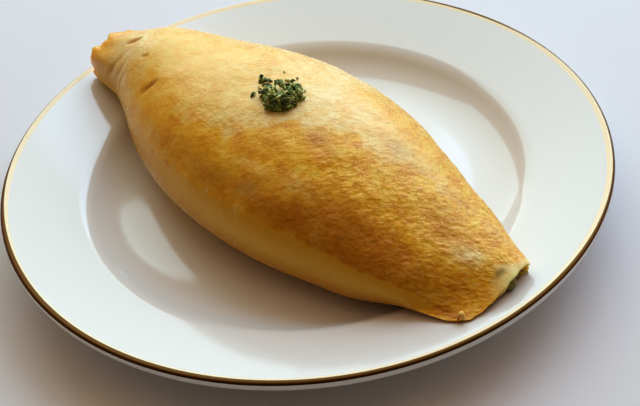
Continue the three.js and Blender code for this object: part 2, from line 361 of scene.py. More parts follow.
def new_tube(name: str, rings: Array, spots: Sequence[Triple] = ()) -> Object:
    """Makes a piece from rings of points, closed by a fan at each end.

    Args:
        name: the piece's name.
        rings: its points, a row for each ring.
        spots: loose points that come last.

    Returns:
        The new object.
    """
    rows, columns = rings.shape[:2]
    row = np.arange(rows - 1)[:, None] * columns
    column = np.arange(columns)
    after = (column + 1) % columns
    quads = np.stack([row + column, row + columns + column, row + columns + after, row + after], axis=-1)
    first, last = rows * columns, rows * columns + 1
    end = first - columns
    faces = quads.reshape(-1, 4).tolist()
    faces += [[first, a, b] for a, b in zip(column.tolist(), after.tolist())]
    faces += [[last, b + end, a + end] for a, b in zip(column.tolist(), after.tolist())]
    middles = np.stack([rings[0].mean(0), rings[-1].mean(0)])
    points = np.concatenate([rings.reshape(-1, 3), middles, np.reshape(spots, (-1, 3))])
    return new_piece(name, points, faces)


def store(piece: Object, title: str, values: Array) -> None:
    """Stores a value at each point of a piece, under an attribute's name."""
    layer = piece.data.attributes.new(title, "FLOAT", "POINT")
    layer.data.foreach_set("value", values.astype(np.float32))


def mount(piece: Object, node: str | None, slot: str) -> Object:
    """Joins a finished piece to the part.

    Args:
        piece: the finished object.
        node: the solid that it stands for, if any.
        slot: the record's material slot.

    Returns:
        The same object.
    """
    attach(piece, BODY)
    if node:
        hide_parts(node)
    log.info("%s: %d faces, slot %s", piece.name, len(piece.data.polygons), slot)
    return piece


def strew(piece: Object, sizes: Array, shapes: Sequence[Object], tilt: float, seed: int,
          finish: Material) -> None:
    """Sets a turned and sized shape on each spot of a piece and keeps all of it as the piece's mesh.

    Args:
        piece: the core, whose last points are the spots.
        sizes: the scale of the shape on each spot.
        shapes: the loose shapes, which are used up.
        tilt: the largest tilt of a shape, in radians.
        seed: the seed of the turns.
        finish: the finish of core and shapes.
    """
    first = len(piece.data.vertices) - len(sizes)
    store(piece, BIT_SIZE, np.concatenate([np.zeros(first), sizes]))
    heap = bpy.data.collections.new(piece.name + "_shapes")
    for loose in shapes:
        bpy.context.scene.collection.objects.unlink(loose)
        heap.objects.link(loose)
    shape = ShapeTree("strewn_" + piece.name, {
        "First spot": (Input.COUNT, first),
        "Shapes": (Input.SHAPES, heap),
        "Tilt": (Input.NUMBER, tilt),
        "Seed": (Input.COUNT, seed),
        "Finish": (Input.FINISH, finish),
    })
    index = shape.add("GeometryNodeInputIndex")
    on_spot = shape.add("FunctionNodeCompare", {2: index, 3: shape.inputs["First spot"]},
                        data_type="INT", operation="GREATER_EQUAL")
    parted = shape.add("GeometryNodeSeparateGeometry", {
        "Geometry": shape.inputs["Geometry"], "Selection": on_spot}, domain="POINT")
    kinds = shape.add("GeometryNodeCollectionInfo", {
        "Collection": shape.inputs["Shapes"], "Separate Children": True, "Reset Children": True})
    most = shape.inputs["Tilt"]
    least = shape.add("ShaderNodeMath", (most, -1.0), operation="MULTIPLY")
    turn = shape.add("FunctionNodeRandomValue", {
        0: shape.add("ShaderNodeCombineXYZ", {"X": least, "Y": least}),
        1: shape.add("ShaderNodeCombineXYZ", {"X": most, "Y": most, "Z": TAU}),
        "Seed": shape.inputs["Seed"]}, data_type="FLOAT_VECTOR")
    size = shape.add("GeometryNodeInputNamedAttribute", {"Name": BIT_SIZE}, data_type="FLOAT")
    placed = shape.add("GeometryNodeInstanceOnPoints", {
        "Points": parted, "Instance": kinds, "Pick Instance": True, "Rotation": turn, "Scale": size})
    whole = shape.add("GeometryNodeJoinGeometry", {"Geometry": placed})
    connect(whole, {"Geometry": parted.outputs["Inverted"]})
    shape.run(piece, whole, {"Finish": None})
    for loose in shapes:
        bpy.data.objects.remove(loose)
    bpy.data.collections.remove(heap)


@dataclass(frozen=True)
class Glaze:
    """Clear gloss glaze on white porcelain: a cool white body under sharp window reflections."""

    colour: str = "#E6E5E1"
    roughness: float = 0.1
    specular: float = 0.75
    ripple_size: float = 34
    ripple_depth: float = 0.05

    def material(self) -> Material:
        """Makes the glaze.

        Returns:
            The material.
        """
        material, tree, shader = new_finish("glazed_porcelain")
        place = add_node(tree, "ShaderNodeTexCoord").outputs["Object"]
        ripple = add_node(tree, "ShaderNodeTexNoise", {
            "Vector": place, "Scale": per_metre(self.ripple_size), "Detail": 1.0})
        bump = add_node(tree, "ShaderNodeBump", {
            "Height": ripple, "Distance": self.ripple_depth * MM, "Strength": 1.0})
        connect(shader, {"Base Color": to_linear(self.colour), "Roughness": self.roughness,
                         "Specular IOR Level": self.specular, "Normal": bump})
        return material


@dataclass(frozen=True)
class GlintSide:
    """A side of the lip where the painted cream highlight of the gilding reaches further in.

    It has its direction, the distances from the axis at which the widening starts and is full, and the share
    of the line's width that it adds.
    """

    direction: Triple
    start: float
    full: float
    width: float


@dataclass(frozen=True)
class Gilding:
    """Fired liquid gold on the lip: dark bronze outside, partly painted dark reflection, and a painted cream
    highlight inside, wider on the sides.
    """

    bronze_and_dark_reflection: str = "#553407"
    painted_glint: str = "#FFEDC4"
    glint_from: Span = (0.77, 0.89)
    glint_sides: tuple[GlintSide, ...] = (
        GlintSide((0.606, 0.795, 0), -80, 80, 0.2),
        GlintSide((0.606, 0.795, 0), 85, 125, 0.22),
        GlintSide((-1, 0, 0), 20, 120, 0.5),
    )
    roughness: Span = (0.3, 0.44)
    coat: float = 0.06
    stroke_size: float = 3

    def material(self) -> Material:
        """Makes the gilding.

        Returns:
            The material.
        """
        material, tree, shader = new_finish("fired_gilding")
        place = add_node(tree, "ShaderNodeTexCoord").outputs["Object"]
        reach = add_node(tree, "ShaderNodeAttribute", attribute_name=GILT).outputs["Fac"]
        for side in self.glint_sides:
            out = add_node(tree, "ShaderNodeVectorMath", (place, side.direction), operation="DOT_PRODUCT")
            more = add_node(tree, "ShaderNodeMapRange", (
                out, side.start * MM, side.full * MM, 0.0, side.width), interpolation_type="SMOOTHSTEP")
            reach = add_node(tree, "ShaderNodeMath", (reach, more), operation="ADD")
        tone = add_node(tree, "ShaderNodeValToRGB", {"Fac": reach},
                        tuple(zip(self.glint_from, (self.bronze_and_dark_reflection, self.painted_glint))))
        metal = add_node(tree, "ShaderNodeMapRange", (reach, *self.glint_from, 1.0, 0.0))
        stroke = add_node(tree, "ShaderNodeTexNoise", {
            "Vector": place, "Scale": per_metre(self.stroke_size), "Detail": 2.0})
        spread = add_node(tree, "ShaderNodeMapRange", (stroke, 0.0, 1.0, *self.roughness))
        connect(shader, {
            "Base Color": tone, "Metallic": metal, "Roughness": spread, "Coat Weight": self.coat})
        return material


@dataclass(frozen=True)
class FriedEgg:
    """Thin fried egg sheet: moist golden skin, toasted in mottles, with painted highlights on its crests,
    painted shade in its creases, a painted sheen and a soft gloss.
    """

    # Toasted, golden and pale skin
    tones: tuple[tuple[float, str], ...] = ((0.34, "#E3990D"), (0.46, "#F4B91E"), (0.6, "#F8D254"))
    tone_middle: float = 0.49
    # Shifts of the tone: creased skin is darker, and the pale patches and the painted sheen make it lighter
    tone_shifts: tuple[tuple[Mask, float], ...] = ((Mask.CREPE, -0.05), (Mask.PALE, 0.08))
    mottle_size: float = 7
    mottle_calm: Span = (0.3, 0.72)
    # Painted shade in the valleys of the creases and painted highlights on their crests
    crease_shade_and_highlights: tuple[tuple[Span, str], ...] = (((0.5, 0.38), "#CB840A"), ((0.5, 0.63), "#FBD46A"))
    crease_strength: float = 0.75
    streak_share: float = 0.45
    streak_size: float = 1.5
    streak_heading: float = 47.7
    streak_stretch: float = 0.4
    streak_depth: float = 0.3
    # Brush-like breaks in the pale patches and the painted sheen
    break_mottle: float = 0.4
    break_span: Span = (0.4, 0.58)
    break_strength: Span = (0.4, 1.15)
    layers: tuple[tuple[Mask, str, float], ...] = (
        # Pale patches with the painted sheen, a painted reflection of the window on the upper side
        (Mask.PALE, "#F6E3B6", 0.75),
        (Mask.BAND, "#E4AE3A", 0.8),
        # Browning with painted shade on the near side, at its foot and under the tail
        (Mask.BROWNED, "#BE7004", 0.88),
        (Mask.MAUVE, "#B08A62", 0.4),
        (Mask.INSIDE, "#F6B62C", 0.9),
        (Mask.LIP, "#FFDC98", 0.88),
        (Mask.GREEN, "#8A7800", 0.85),
        # Painted shade in the slits, the neck's folds and on and under the curl, with two small brown scars
        (Mask.SLIT, "#C4700A", 0.95),
    )
    pore_size: float = 1.1
    pore_depth: float = 0.13
    oil: str = "#FFE7B4"
    specular: float = 0.6
    gloss_span: Span = (0.3, 0.7)
    roughness: Span = (0.16, 0.32)
    crepe_roughness: float = 0.08
    glow_radii: Triple = (1.0, 0.62, 0.2)
    glow_depth: float = 3.5
    clearness: Span = (0.12, 0.9)

    def tone(self, tree: NodeTree, masks: dict[Mask, NodeSocket], mottle: Node, streak: Node,
             fine: Node) -> Node:
        """Mixes the skin's colour.

        Args:
            tree: the finish's tree.
            masks: the skin's masks.
            mottle: the pattern of the toasted mottles.
            streak: the pattern of the fine creases.
            fine: how creased the skin is.

        Returns:
            The node that gives the colour.
        """
        calm = add_node(tree, "ShaderNodeMapRange", (masks[Mask.CREPE], 0.0, 1.0, *self.mottle_calm))
        ripe = add_node(tree, "ShaderNodeMix", {
            "Factor": calm, 2: self.tone_middle, 3: mottle}, data_type="FLOAT")
        for mask, shift in self.tone_shifts:
            ripe = add_node(tree, "ShaderNodeMath", (masks[mask], shift, ripe), operation="MULTIPLY_ADD")
        tone = add_node(tree, "ShaderNodeValToRGB", {"Fac": ripe}, self.tones)
        height = add_node(tree, "ShaderNodeMix", {
            "Factor": self.streak_share, 2: masks[Mask.CREASE], 3: streak}, data_type="FLOAT")
        coats = []
        for span, colour in self.crease_shade_and_highlights:
            reach = add_node(tree, "ShaderNodeMapRange", (height, *span, 0.0, self.crease_strength))
            coats.append((reach, colour, fine))
        strewn = add_node(tree, "ShaderNodeMix", {
            "Factor": self.break_mottle, 2: streak, 3: mottle}, data_type="FLOAT")
        broken = add_node(tree, "ShaderNodeMapRange", (strewn, *self.break_span, *self.break_strength))
        for mask, colour, strength in self.layers:
            reach = masks[mask]
            if mask is Mask.PALE:
                reach = add_node(tree, "ShaderNodeMath", (reach, broken), operation="MULTIPLY")
            coats.append((reach, colour, strength))
        for reach, colour, strength in coats:
            share = add_node(tree, "ShaderNodeMath", (reach, strength), operation="MULTIPLY")
            tone = add_node(tree, "ShaderNodeMix", {
                "Factor": share, 6: tone, 7: to_linear(colour)}, data_type="RGBA")
        return tone

    def material(self) -> Material:
        """Makes the egg skin's finish.

        Returns:
            The material.
        """
        material, tree, shader = new_finish("fried_egg_sheet")
        place = add_node(tree, "ShaderNodeTexCoord").outputs["Object"]
        masks = {mask: add_node(tree, "ShaderNodeAttribute", attribute_name=mask.value).outputs["Fac"]
                 for mask in Mask}
        fine = add_node(tree, "ShaderNodeMath", (masks[Mask.CREPE], masks[Mask.CREPE]), operation="MULTIPLY")
        mottle = add_node(tree, "ShaderNodeTexNoise", {
            "Vector": place, "Scale": per_metre(self.mottle_size), "Detail": 5.0, "Roughness": 0.6})
        turned = add_node(tree, "ShaderNodeVectorRotate", {
            "Vector": place, "Angle": -math.radians(self.streak_heading)}, rotation_type="Z_AXIS")
        drawn = add_node(tree, "ShaderNodeMapping", {
            "Vector": turned, "Scale": (self.streak_stretch, 1.0, 1.0)})
        streak = add_node(tree, "ShaderNodeTexNoise", {
            "Vector": drawn, "Scale": per_metre(self.streak_size), "Detail": 3.0, "Roughness": 0.65,
            "Distortion": 0.6})
        pore = add_node(tree, "ShaderNodeTexNoise", {
            "Vector": place, "Scale": per_metre(self.pore_size), "Detail": 2.0})
        gloss = add_node(tree, "ShaderNodeMapRange", (streak, *self.gloss_span, *self.roughness))
        dull = add_node(tree, "ShaderNodeMath", (
            fine, self.crepe_roughness, gloss), operation="MULTIPLY_ADD")
        thin = add_node(tree, "ShaderNodeMath", (masks[Mask.LIP], masks[Mask.INSIDE]), operation="MAXIMUM")
        clear = add_node(tree, "ShaderNodeMapRange", (thin, 0.0, 1.0, *self.clearness))
        creased = add_node(tree, "ShaderNodeMath", (streak, fine), operation="MULTIPLY")
        relief = add_node(tree, "ShaderNodeMath", (
            creased, self.streak_depth / self.pore_depth, pore), operation="MULTIPLY_ADD")
        bump = add_node(tree, "ShaderNodeBump", {
            "Height": relief, "Distance": self.pore_depth * MM, "Strength": 1.0})
        connect(shader, {
            "Base Color": self.tone(tree, masks, mottle, streak, fine), "Normal": bump,
            "Roughness": dull, "Specular IOR Level": self.specular, "Specular Tint": to_linear(self.oil),
            "Subsurface Weight": clear, "Subsurface Radius": self.glow_radii,
            "Subsurface Scale": self.glow_depth * MM})
        return material


@dataclass(frozen=True)
class Speckled:
    """A moist food finish of a few tones that differ from piece to piece."""

    name: str
    tones: tuple[str, ...]
    roughness: float
    grain_size: float
    grain_depth: float
    grain_share: float = 0.5
    tone_span: Span = (0.25, 0.75)

    def material(self) -> Material:
        """Makes the finish.

        Returns:
            The material.
        """
        material, tree, shader = new_finish(self.name)
        place = add_node(tree, "ShaderNodeTexCoord").outputs["Object"]
        island = add_node(tree, "ShaderNodeNewGeometry").outputs["Random Per Island"]
        grain = add_node(tree, "ShaderNodeTexNoise", {
            "Vector": place, "Scale": per_metre(self.grain_size), "Detail": 2.0})
        mixed = add_node(tree, "ShaderNodeMix", {
            "Factor": self.grain_share, 2: island, 3: grain}, data_type="FLOAT")
        tone = add_node(tree, "ShaderNodeValToRGB", {"Fac": mixed},
                        tuple(zip(np.linspace(*self.tone_span, len(self.tones)), self.tones)))
        bump = add_node(tree, "ShaderNodeBump", {
            "Height": grain, "Distance": self.grain_depth * MM, "Strength": 1.0})
        connect(shader, {"Base Color": tone, "Roughness": self.roughness, "Normal": bump})
        return material


@dataclass
class RimPlate:
    """The turned porcelain plate: foot ring, well, sloped rim and gilt lip."""

    radius: float = 125
    height: float = 24
    floor_radius: float = 66
    floor_top: float = 6.6
    floor_thickness: float = 4.2
    well_edge_radius: float = 91.3
    well_edge_height: float = 15.4
    well_edge_round: float = 3
    well_wall_slope: float = 0.8
    well_sweep: float = 9
    rim_slope: float = 0.248
    rim_thickness: float = 4
    lip_round: float = 1.6
    lip_thickness: float = 4.2
    lip_bulge: float = 0.7
    lip_blend: float = 1.6
    foot_inner_radius: float = 69.5
    foot_outer_radius: float = 73
    foot_splay: float = 1.8
    foot_round: float = 0.5
    segments: int = 288
    curve_steps: int = 16
    seam: float = 0.01
    gilt_from: float = 0.68
    gilt_reach: float = 0.52

    def rim_top(self, radius: float | Array) -> float | Array:
        """Gives the height of the rim's upper face at a radius."""
        return self.well_edge_height + (radius - self.well_edge_radius) * self.rim_slope

    def on_rim(self, radius: float) -> Point:
        """Gives the section's point on the rim's upper face at a radius."""
        return radius, self.rim_top(radius)

    def on_wall(self, inset: float) -> Point:
        """Gives the section's point on the slope of the well wall, at a distance inside the well's edge."""
        return self.well_edge_radius - inset, self.well_edge_height - self.well_wall_slope * inset

    def profile(self) -> tuple[Array, int, int]:
        """Draws the plate's section from the underside's middle round the lip to the floor's middle.

        Returns:
            Points of radius and height, and the rows at which the gilt line starts and ends.
        """
        steps, floor = self.curve_steps, self.floor_top
        underside = floor - self.floor_thickness
        inner, outer, foot = self.foot_inner_radius, self.foot_outer_radius, self.foot_round
        edge, wall = self.well_edge_radius, self.rim_thickness
        flat, sweep = self.floor_radius, self.well_sweep
        lip_top, lip_edge = self.radius - self.lip_round, self.radius + self.lip_bulge
        lip_inner = self.radius - 2 * self.lip_round
        lip_under = self.rim_top(lip_inner) - self.lip_thickness
        lip_foot = lip_inner - self.lip_blend
        below = np.concatenate([
            [(0, underside), (inner / 2, underside)],
            curved((inner - 2 * self.foot_splay, underside),
                   (steps // 2, [(inner - self.foot_splay, underside), (inner - foot, foot)]),
                   (steps // 4, [(inner, 0), (inner + foot, 0)])),
            curved((outer - foot, 0),
                   (steps // 4, [(outer, 0), (outer + foot, foot)])),
            [(outer + self.foot_splay, underside)],
            curved((outer + self.foot_splay, underside),
                   (steps, [(edge - wall, self.well_edge_height - 2 * wall),
                            (edge + wall, self.well_edge_height - wall)]),
                   (steps, [(lip_inner, lip_under)])),
        ])
        lip = curved((lip_inner, lip_under),
                     (2 * steps, [(lip_edge, lip_under), self.on_rim(lip_edge), self.on_rim(lip_top)]),
                     (steps, [self.on_rim(lip_foot)]))
        above = curved(self.on_rim(lip_foot),
                       (steps, [self.on_rim(edge + self.well_edge_round)]),
                       (steps, [(edge, self.well_edge_height), self.on_wall(self.well_edge_round)]),
                       (2 * steps, [self.on_wall(sweep), (flat + sweep, floor), (flat, floor)]),
                       (steps // 2, [(0, floor)]))
        gilt_start = len(below) + round(2 * steps * self.gilt_from)
        gilt_end = len(below) + len(lip) - round(steps * (1 - self.gilt_reach))
        return np.concatenate([below, lip, above]), gilt_start, gilt_end

    def build(self, glaze: Material, gilding: Material) -> Object:
        """Turns the section round the plate's axis.

        Args:
            glaze: finish of the porcelain.
            gilding: finish of the lip's line.

        Returns:
            The plate.
        """
        section, gilt_start, gilt_end = self.profile()
        line = np.stack([section[:, 0], np.zeros(len(section)), section[:, 1]], axis=1)
        piece = new_piece("rim_plate", line, [])
        shape = ShapeTree("turned_profile", {
            "Columns": (Input.COUNT, self.segments + 1),
            "Gilt start": (Input.NUMBER, float(gilt_start)),
            "Gilt end": (Input.NUMBER, float(gilt_end)),
            "Seam": (Input.NUMBER, self.seam * MM),
            "Glaze": (Input.FINISH, glaze),
            "Gilding": (Input.FINISH, gilding),
        })
        drawn, columns = shape.inputs["Geometry"], shape.inputs["Columns"]
        rows = shape.add("GeometryNodeAttributeDomainSize", {"Geometry": drawn}, component="MESH")
        grid = shape.add("GeometryNodeMeshGrid", {"Vertices X": columns, "Vertices Y": rows})
        index = shape.add("GeometryNodeInputIndex")
        row = shape.add("ShaderNodeMath", (index, rows), operation="MODULO")
        segments = shape.add("ShaderNodeMath", (columns, 1.0), operation="SUBTRACT")
        turn = index
        for operation, by in (("DIVIDE", rows), ("FLOOR", 0.0), ("DIVIDE", segments), ("MULTIPLY", TAU)):
            turn = shape.add("ShaderNodeMath", (turn, by), operation=operation)
        place = shape.add("GeometryNodeInputPosition")
        point = shape.add("GeometryNodeSampleIndex", {"Geometry": drawn, "Value": place, "Index": row},
                          data_type="FLOAT_VECTOR")
        turned = shape.add("ShaderNodeVectorRotate", {
            "Vector": point, "Angle": turn}, rotation_type="Z_AXIS")
        placed = shape.add("GeometryNodeSetPosition", {"Geometry": grid, "Position": turned})
        over = shape.add("ShaderNodeMapRange", (row, shape.inputs["Gilt start"], shape.inputs["Gilt end"]),
                         clamp=False)
        kept = shape.add("GeometryNodeStoreNamedAttribute", {
            "Geometry": placed, "Name": GILT, "Value": over}, data_type="FLOAT", domain="POINT")
        closed = shape.add("GeometryNodeMergeByDistance", {
            "Geometry": kept, "Distance": shape.inputs["Seam"]})
        smooth = shape.add("GeometryNodeSetShadeSmooth", {"Geometry": closed, "Shade Smooth": True})
        marked = shape.add("GeometryNodeInputNamedAttribute", {"Name": GILT}, data_type="FLOAT")
        limits = [shape.add("FunctionNodeCompare", (marked, limit), data_type="FLOAT", operation=operation)
                  for operation, limit in (("GREATER_THAN", 0.0), ("LESS_THAN", 1.0))]
        gilt = shape.add("FunctionNodeBooleanMath", limits, operation="AND")
        shape.run(piece, smooth, {"Glaze": None, "Gilding": gilt})
        return mount(piece, "plate", "porcelain")


@dataclass(frozen=True)
class FoldSlit:
    """A small fold in the skin: its middle, its heading in plan in degrees, its length and its strength."""

    x: float
    y: float
    heading: float
    length: float
    strength: float


@dataclass(frozen=True)
class Patch:
    """A soft-edged patch of the skin.

    It has its middle as a share of the length and a turn in degrees, its reach along as a share and around
    in radians, and its weight.
    """

    share: float
    turn: float
    reach_along: float
    reach_around: float
    weight: float = 1

    def strength(self, share: Array, turn: Array) -> Array:
        """Gives the patch's strength at places of the skin, from 0 to its weight."""
        away = ((share - self.share) / self.reach_along) ** 2
        return self.weight * np.exp(-away - ((turn - math.radians(self.turn)) / self.reach_around) ** 2)


def strongest(patches: Sequence[Patch], share: Array, turn: Array) -> Array:
    """Gives the strength of the strongest of several patches at places of the skin."""
    return np.max([patch.strength(share, turn) for patch in patches], axis=0)


@dataclass(frozen=True)
class EggMarks:
    """Where the egg skin is pale, brown, banded, thin, scarred and creased, and where sheen and shade are
    painted, as masks over the skin.
    """

    # Patches of colour
    # Browned patches; the ones at the tail's neck and underside are painted shade
    browned_and_shade_patches: tuple[Patch, ...] = (
        Patch(0.68, 143, 0.1, 0.24, 0.9),
        Patch(0.37, 147, 0.09, 0.16, 0.4),
        Patch(0.5, 146, 0.1, 0.16, 0.6),
        Patch(0.025, 158, 0.03, 0.3, 0.6),
        Patch(0.06, 165, 0.04, 0.22, 0.35),
        Patch(0.565, 112, 0.03, 0.08, 0.35),
        Patch(0.614, 97, 0.026, 0.09, 0.85),
        Patch(0.65, 98, 0.022, 0.09, 0.45),
        Patch(0.87, 86, 0.04, 0.2, 0.5),
        Patch(0.965, 160, 0.04, 0.22, 0.9),
    )
    # Pale patches: the gloss on the ridge at 80 degrees, the tail's top and the far edge are painted
    # highlights; the yellow patches and the thin streaks at 157 degrees are the skin's own tone
    pale_patches: tuple[Patch, ...] = (
        Patch(0.588, 80, 0.035, 0.2),
        Patch(0.57, 128, 0.04, 0.06, 0.3),
        Patch(0.65, 123, 0.035, 0.08, 0.35),
        Patch(0.1, 115, 0.07, 0.7),
        Patch(0.93, 96, 0.025, 0.16, 0.95),
        Patch(0.17, 125, 0.05, 0.25, 0.5),
        Patch(0.93, 50, 0.03, 0.16, 0.5),
        Patch(0.27, 128, 0.05, 0.12, 0.25),
        Patch(0.414, 157, 0.004, 0.07, 0.8),
        Patch(0.51, 157, 0.004, 0.07, 0.8),
        Patch(0.582, 157, 0.004, 0.06, 0.8),
    )
    # The first scar is painted shade on the skin under the curl; the other two are small brown marks
    scars_and_shade: tuple[Patch, ...] = (
        Patch(0.984, 168, 0.007, 0.09),
        Patch(0.392, 159, 0.009, 0.025, 0.8),
        Patch(0.336, 161.5, 0.005, 0.02, 0.7),
    )
    mauve_patches: tuple[Patch, ...] = (
        Patch(0.585, 140, 0.022, 0.09),
        Patch(0.715, 70, 0.03, 0.12),
    )
    green_patches: tuple[Patch, ...] = (Patch(0.981, 95, 0.0055, 0.2),)
    # Painted sheen of the upper side, a painted reflection of the window, with a golden ridge behind it
    sheen_turns: tuple[float, ...] = (128, 128, 126, 128, 128, 116, 88, 84, 69, 58, 52)
    sheen_strengths: tuple[float, ...] = (0.2, 0.35, 0.4, 0.42, 0.6, 0.9, 0.85, 0.48, 0.42, 0.42, 0.4)
    sheen_waves: tuple[Triple, ...] = ((3, 55, 0), (2, 131, 1))
    sheen_edge: Span = (2.6, -2.6)
    sheen_far: float = 0.6
    sheen_grade: Span = (122, 84)
    gold_ridge: Span = (70, 48)
    gold_from: Span = (0.5, 0.58)
    gold_strength: float = 0.8
    # Plain band low on the near side
    band_turns: tuple[float, ...] = (158, 158, 158, 158, 157, 156, 154, 154, 155, 157, 158)
    band_waves: tuple[Triple, ...] = ((1.1, 88, 0), (0.8, 207, 1))
    band_edge: Span = (-1.6, 2.8)
    band_ends: tuple[Span, Span] = ((0.12, 0.3), (0.98, 0.88))
    band_foot: float = 229.2
    band_cover: float = 0.7
    # Darker near side under the sheen, partly browning and partly painted shade, and painted shade at its
    # foot
    front_turns: tuple[Span, Span] = ((106.6, 128.3), (163.3, 152.4))
    front_from: Span = (0.6, 0.76)
    front_strength: float = 0.8
    front_fade: Span = (0.86, 0.94)
    front_loss: float = 0.7
    foot_turns: Span = (171.9, 187.9)
    foot_from: Span = (0.3, 0.6)
    foot_strength: float = 0.65
    # Thin pale edge at the mouth and bright edge at the tail
    lip_widths: Span = (0.011, 0.021)
    lip_middle: float = 97
    lip_reach: float = 20
    lip_waves: tuple[Triple, ...] = ((0.14, 9, 0), (0.12, 23, 2))
    lip_edge: Span = (1.5, 0.6)
    lip_rise: Span = (0, 0.3)
    lip_end: Span = (130, 103)
    tail_edge: Span = (0.045, 0)
    tail_tint: float = 0.75
    # Where and how strongly the skin is creased
    shown_rise: Span = (-0.35, 0.1)
    plain_crepe: Span = (0.42, 0.72)
    plain_from: Span = (0.26, 0.38)
    crepe_from: Span = (0.58, 0.75)
    band_calm: float = 0.75
    lip_calm: float = 0.5

    def sheen(self, share: Array, turn: Array) -> Array:
        """Gives the strength of the painted sheen of the upper side.

        Args:
            share: shares of the length of the skin's points.
            turn: their turns.

        Returns:
            The strength at each point.
        """
        degrees = np.degrees(turn)
        edge = along(share, self.sheen_turns) + waves(share, self.sheen_waves)
        sheen = along(share, self.sheen_strengths) * eased(degrees - edge, self.sheen_edge)
        grade = lerp(self.sheen_far, 1, eased(degrees, self.sheen_grade))
        gold = eased(degrees, self.gold_ridge) * eased(share, self.gold_from)
        return sheen * grade * (1 - self.gold_strength * gold)

    def lip(self, share: Array, turn: Array) -> Array:
        """Gives the strength of the thin edge over the mouth.

        Args:
            share: shares of the length of the skin's points.
            turn: their turns.

        Returns:
            The strength at each point.
        """
        degrees = np.degrees(turn)
        width = lerp(*self.lip_widths, np.exp(-((degrees - self.lip_middle) / self.lip_reach) ** 2))
        away = (1 - share) / (width * (1 + waves(turn, self.lip_waves)))
        return eased(away, self.lip_edge) * eased(np.sin(turn), self.lip_rise) * eased(degrees, self.lip_end)

    def masks(self, share: Array, turn: Array) -> dict[Mask, Array]:
        """Works out the masks of the outer skin.

        Args:
            share: shares of the length of the skin's points.
            turn: their turns.

        Returns:
            Each mask's values.
        """
        degrees = np.degrees(turn)
        shown = eased(np.sin(turn), self.shown_rise)
        below = degrees - along(share, self.band_turns) - waves(share, self.band_waves)
        band = eased(below, self.band_edge) * eased(share, *self.band_ends) * (degrees < self.band_foot)
        lip = self.lip(share, turn)
        plain = lerp(*self.plain_crepe, eased(share, self.plain_from))
        creased = lerp(plain, 1, eased(share, self.crepe_from)) * shown
        # The near side darkens partly by browning and partly as painted shade, and its foot as painted shade
        front = self.front_strength * eased(degrees, *self.front_turns) * eased(share, self.front_from)
        front = front * (1 - self.front_loss * eased(share, self.front_fade))
        foot = self.foot_strength * eased(degrees, self.foot_turns) * eased(share, self.foot_from)
        patches = {mask: strongest(group, share, turn) for mask, group in (
            (Mask.BROWNED, self.browned_and_shade_patches), (Mask.PALE, self.pale_patches),
            (Mask.GREEN, self.green_patches), (Mask.MAUVE, self.mauve_patches), (Mask.SLIT, self.scars_and_shade))}
        browned = np.maximum(patches[Mask.BROWNED], front) * (1 - self.band_cover * band)
        return patches | {
            Mask.BAND: band,
            Mask.CREPE: creased * (1 - self.band_calm * band) * (1 - self.lip_calm * lip),
            Mask.BROWNED: np.maximum(browned, foot),
            Mask.LIP: lip,
            Mask.INSIDE: self.tail_tint * eased(share, self.tail_edge),
            Mask.PALE: np.maximum(patches[Mask.PALE], self.sheen(share, turn) * shown),
        }


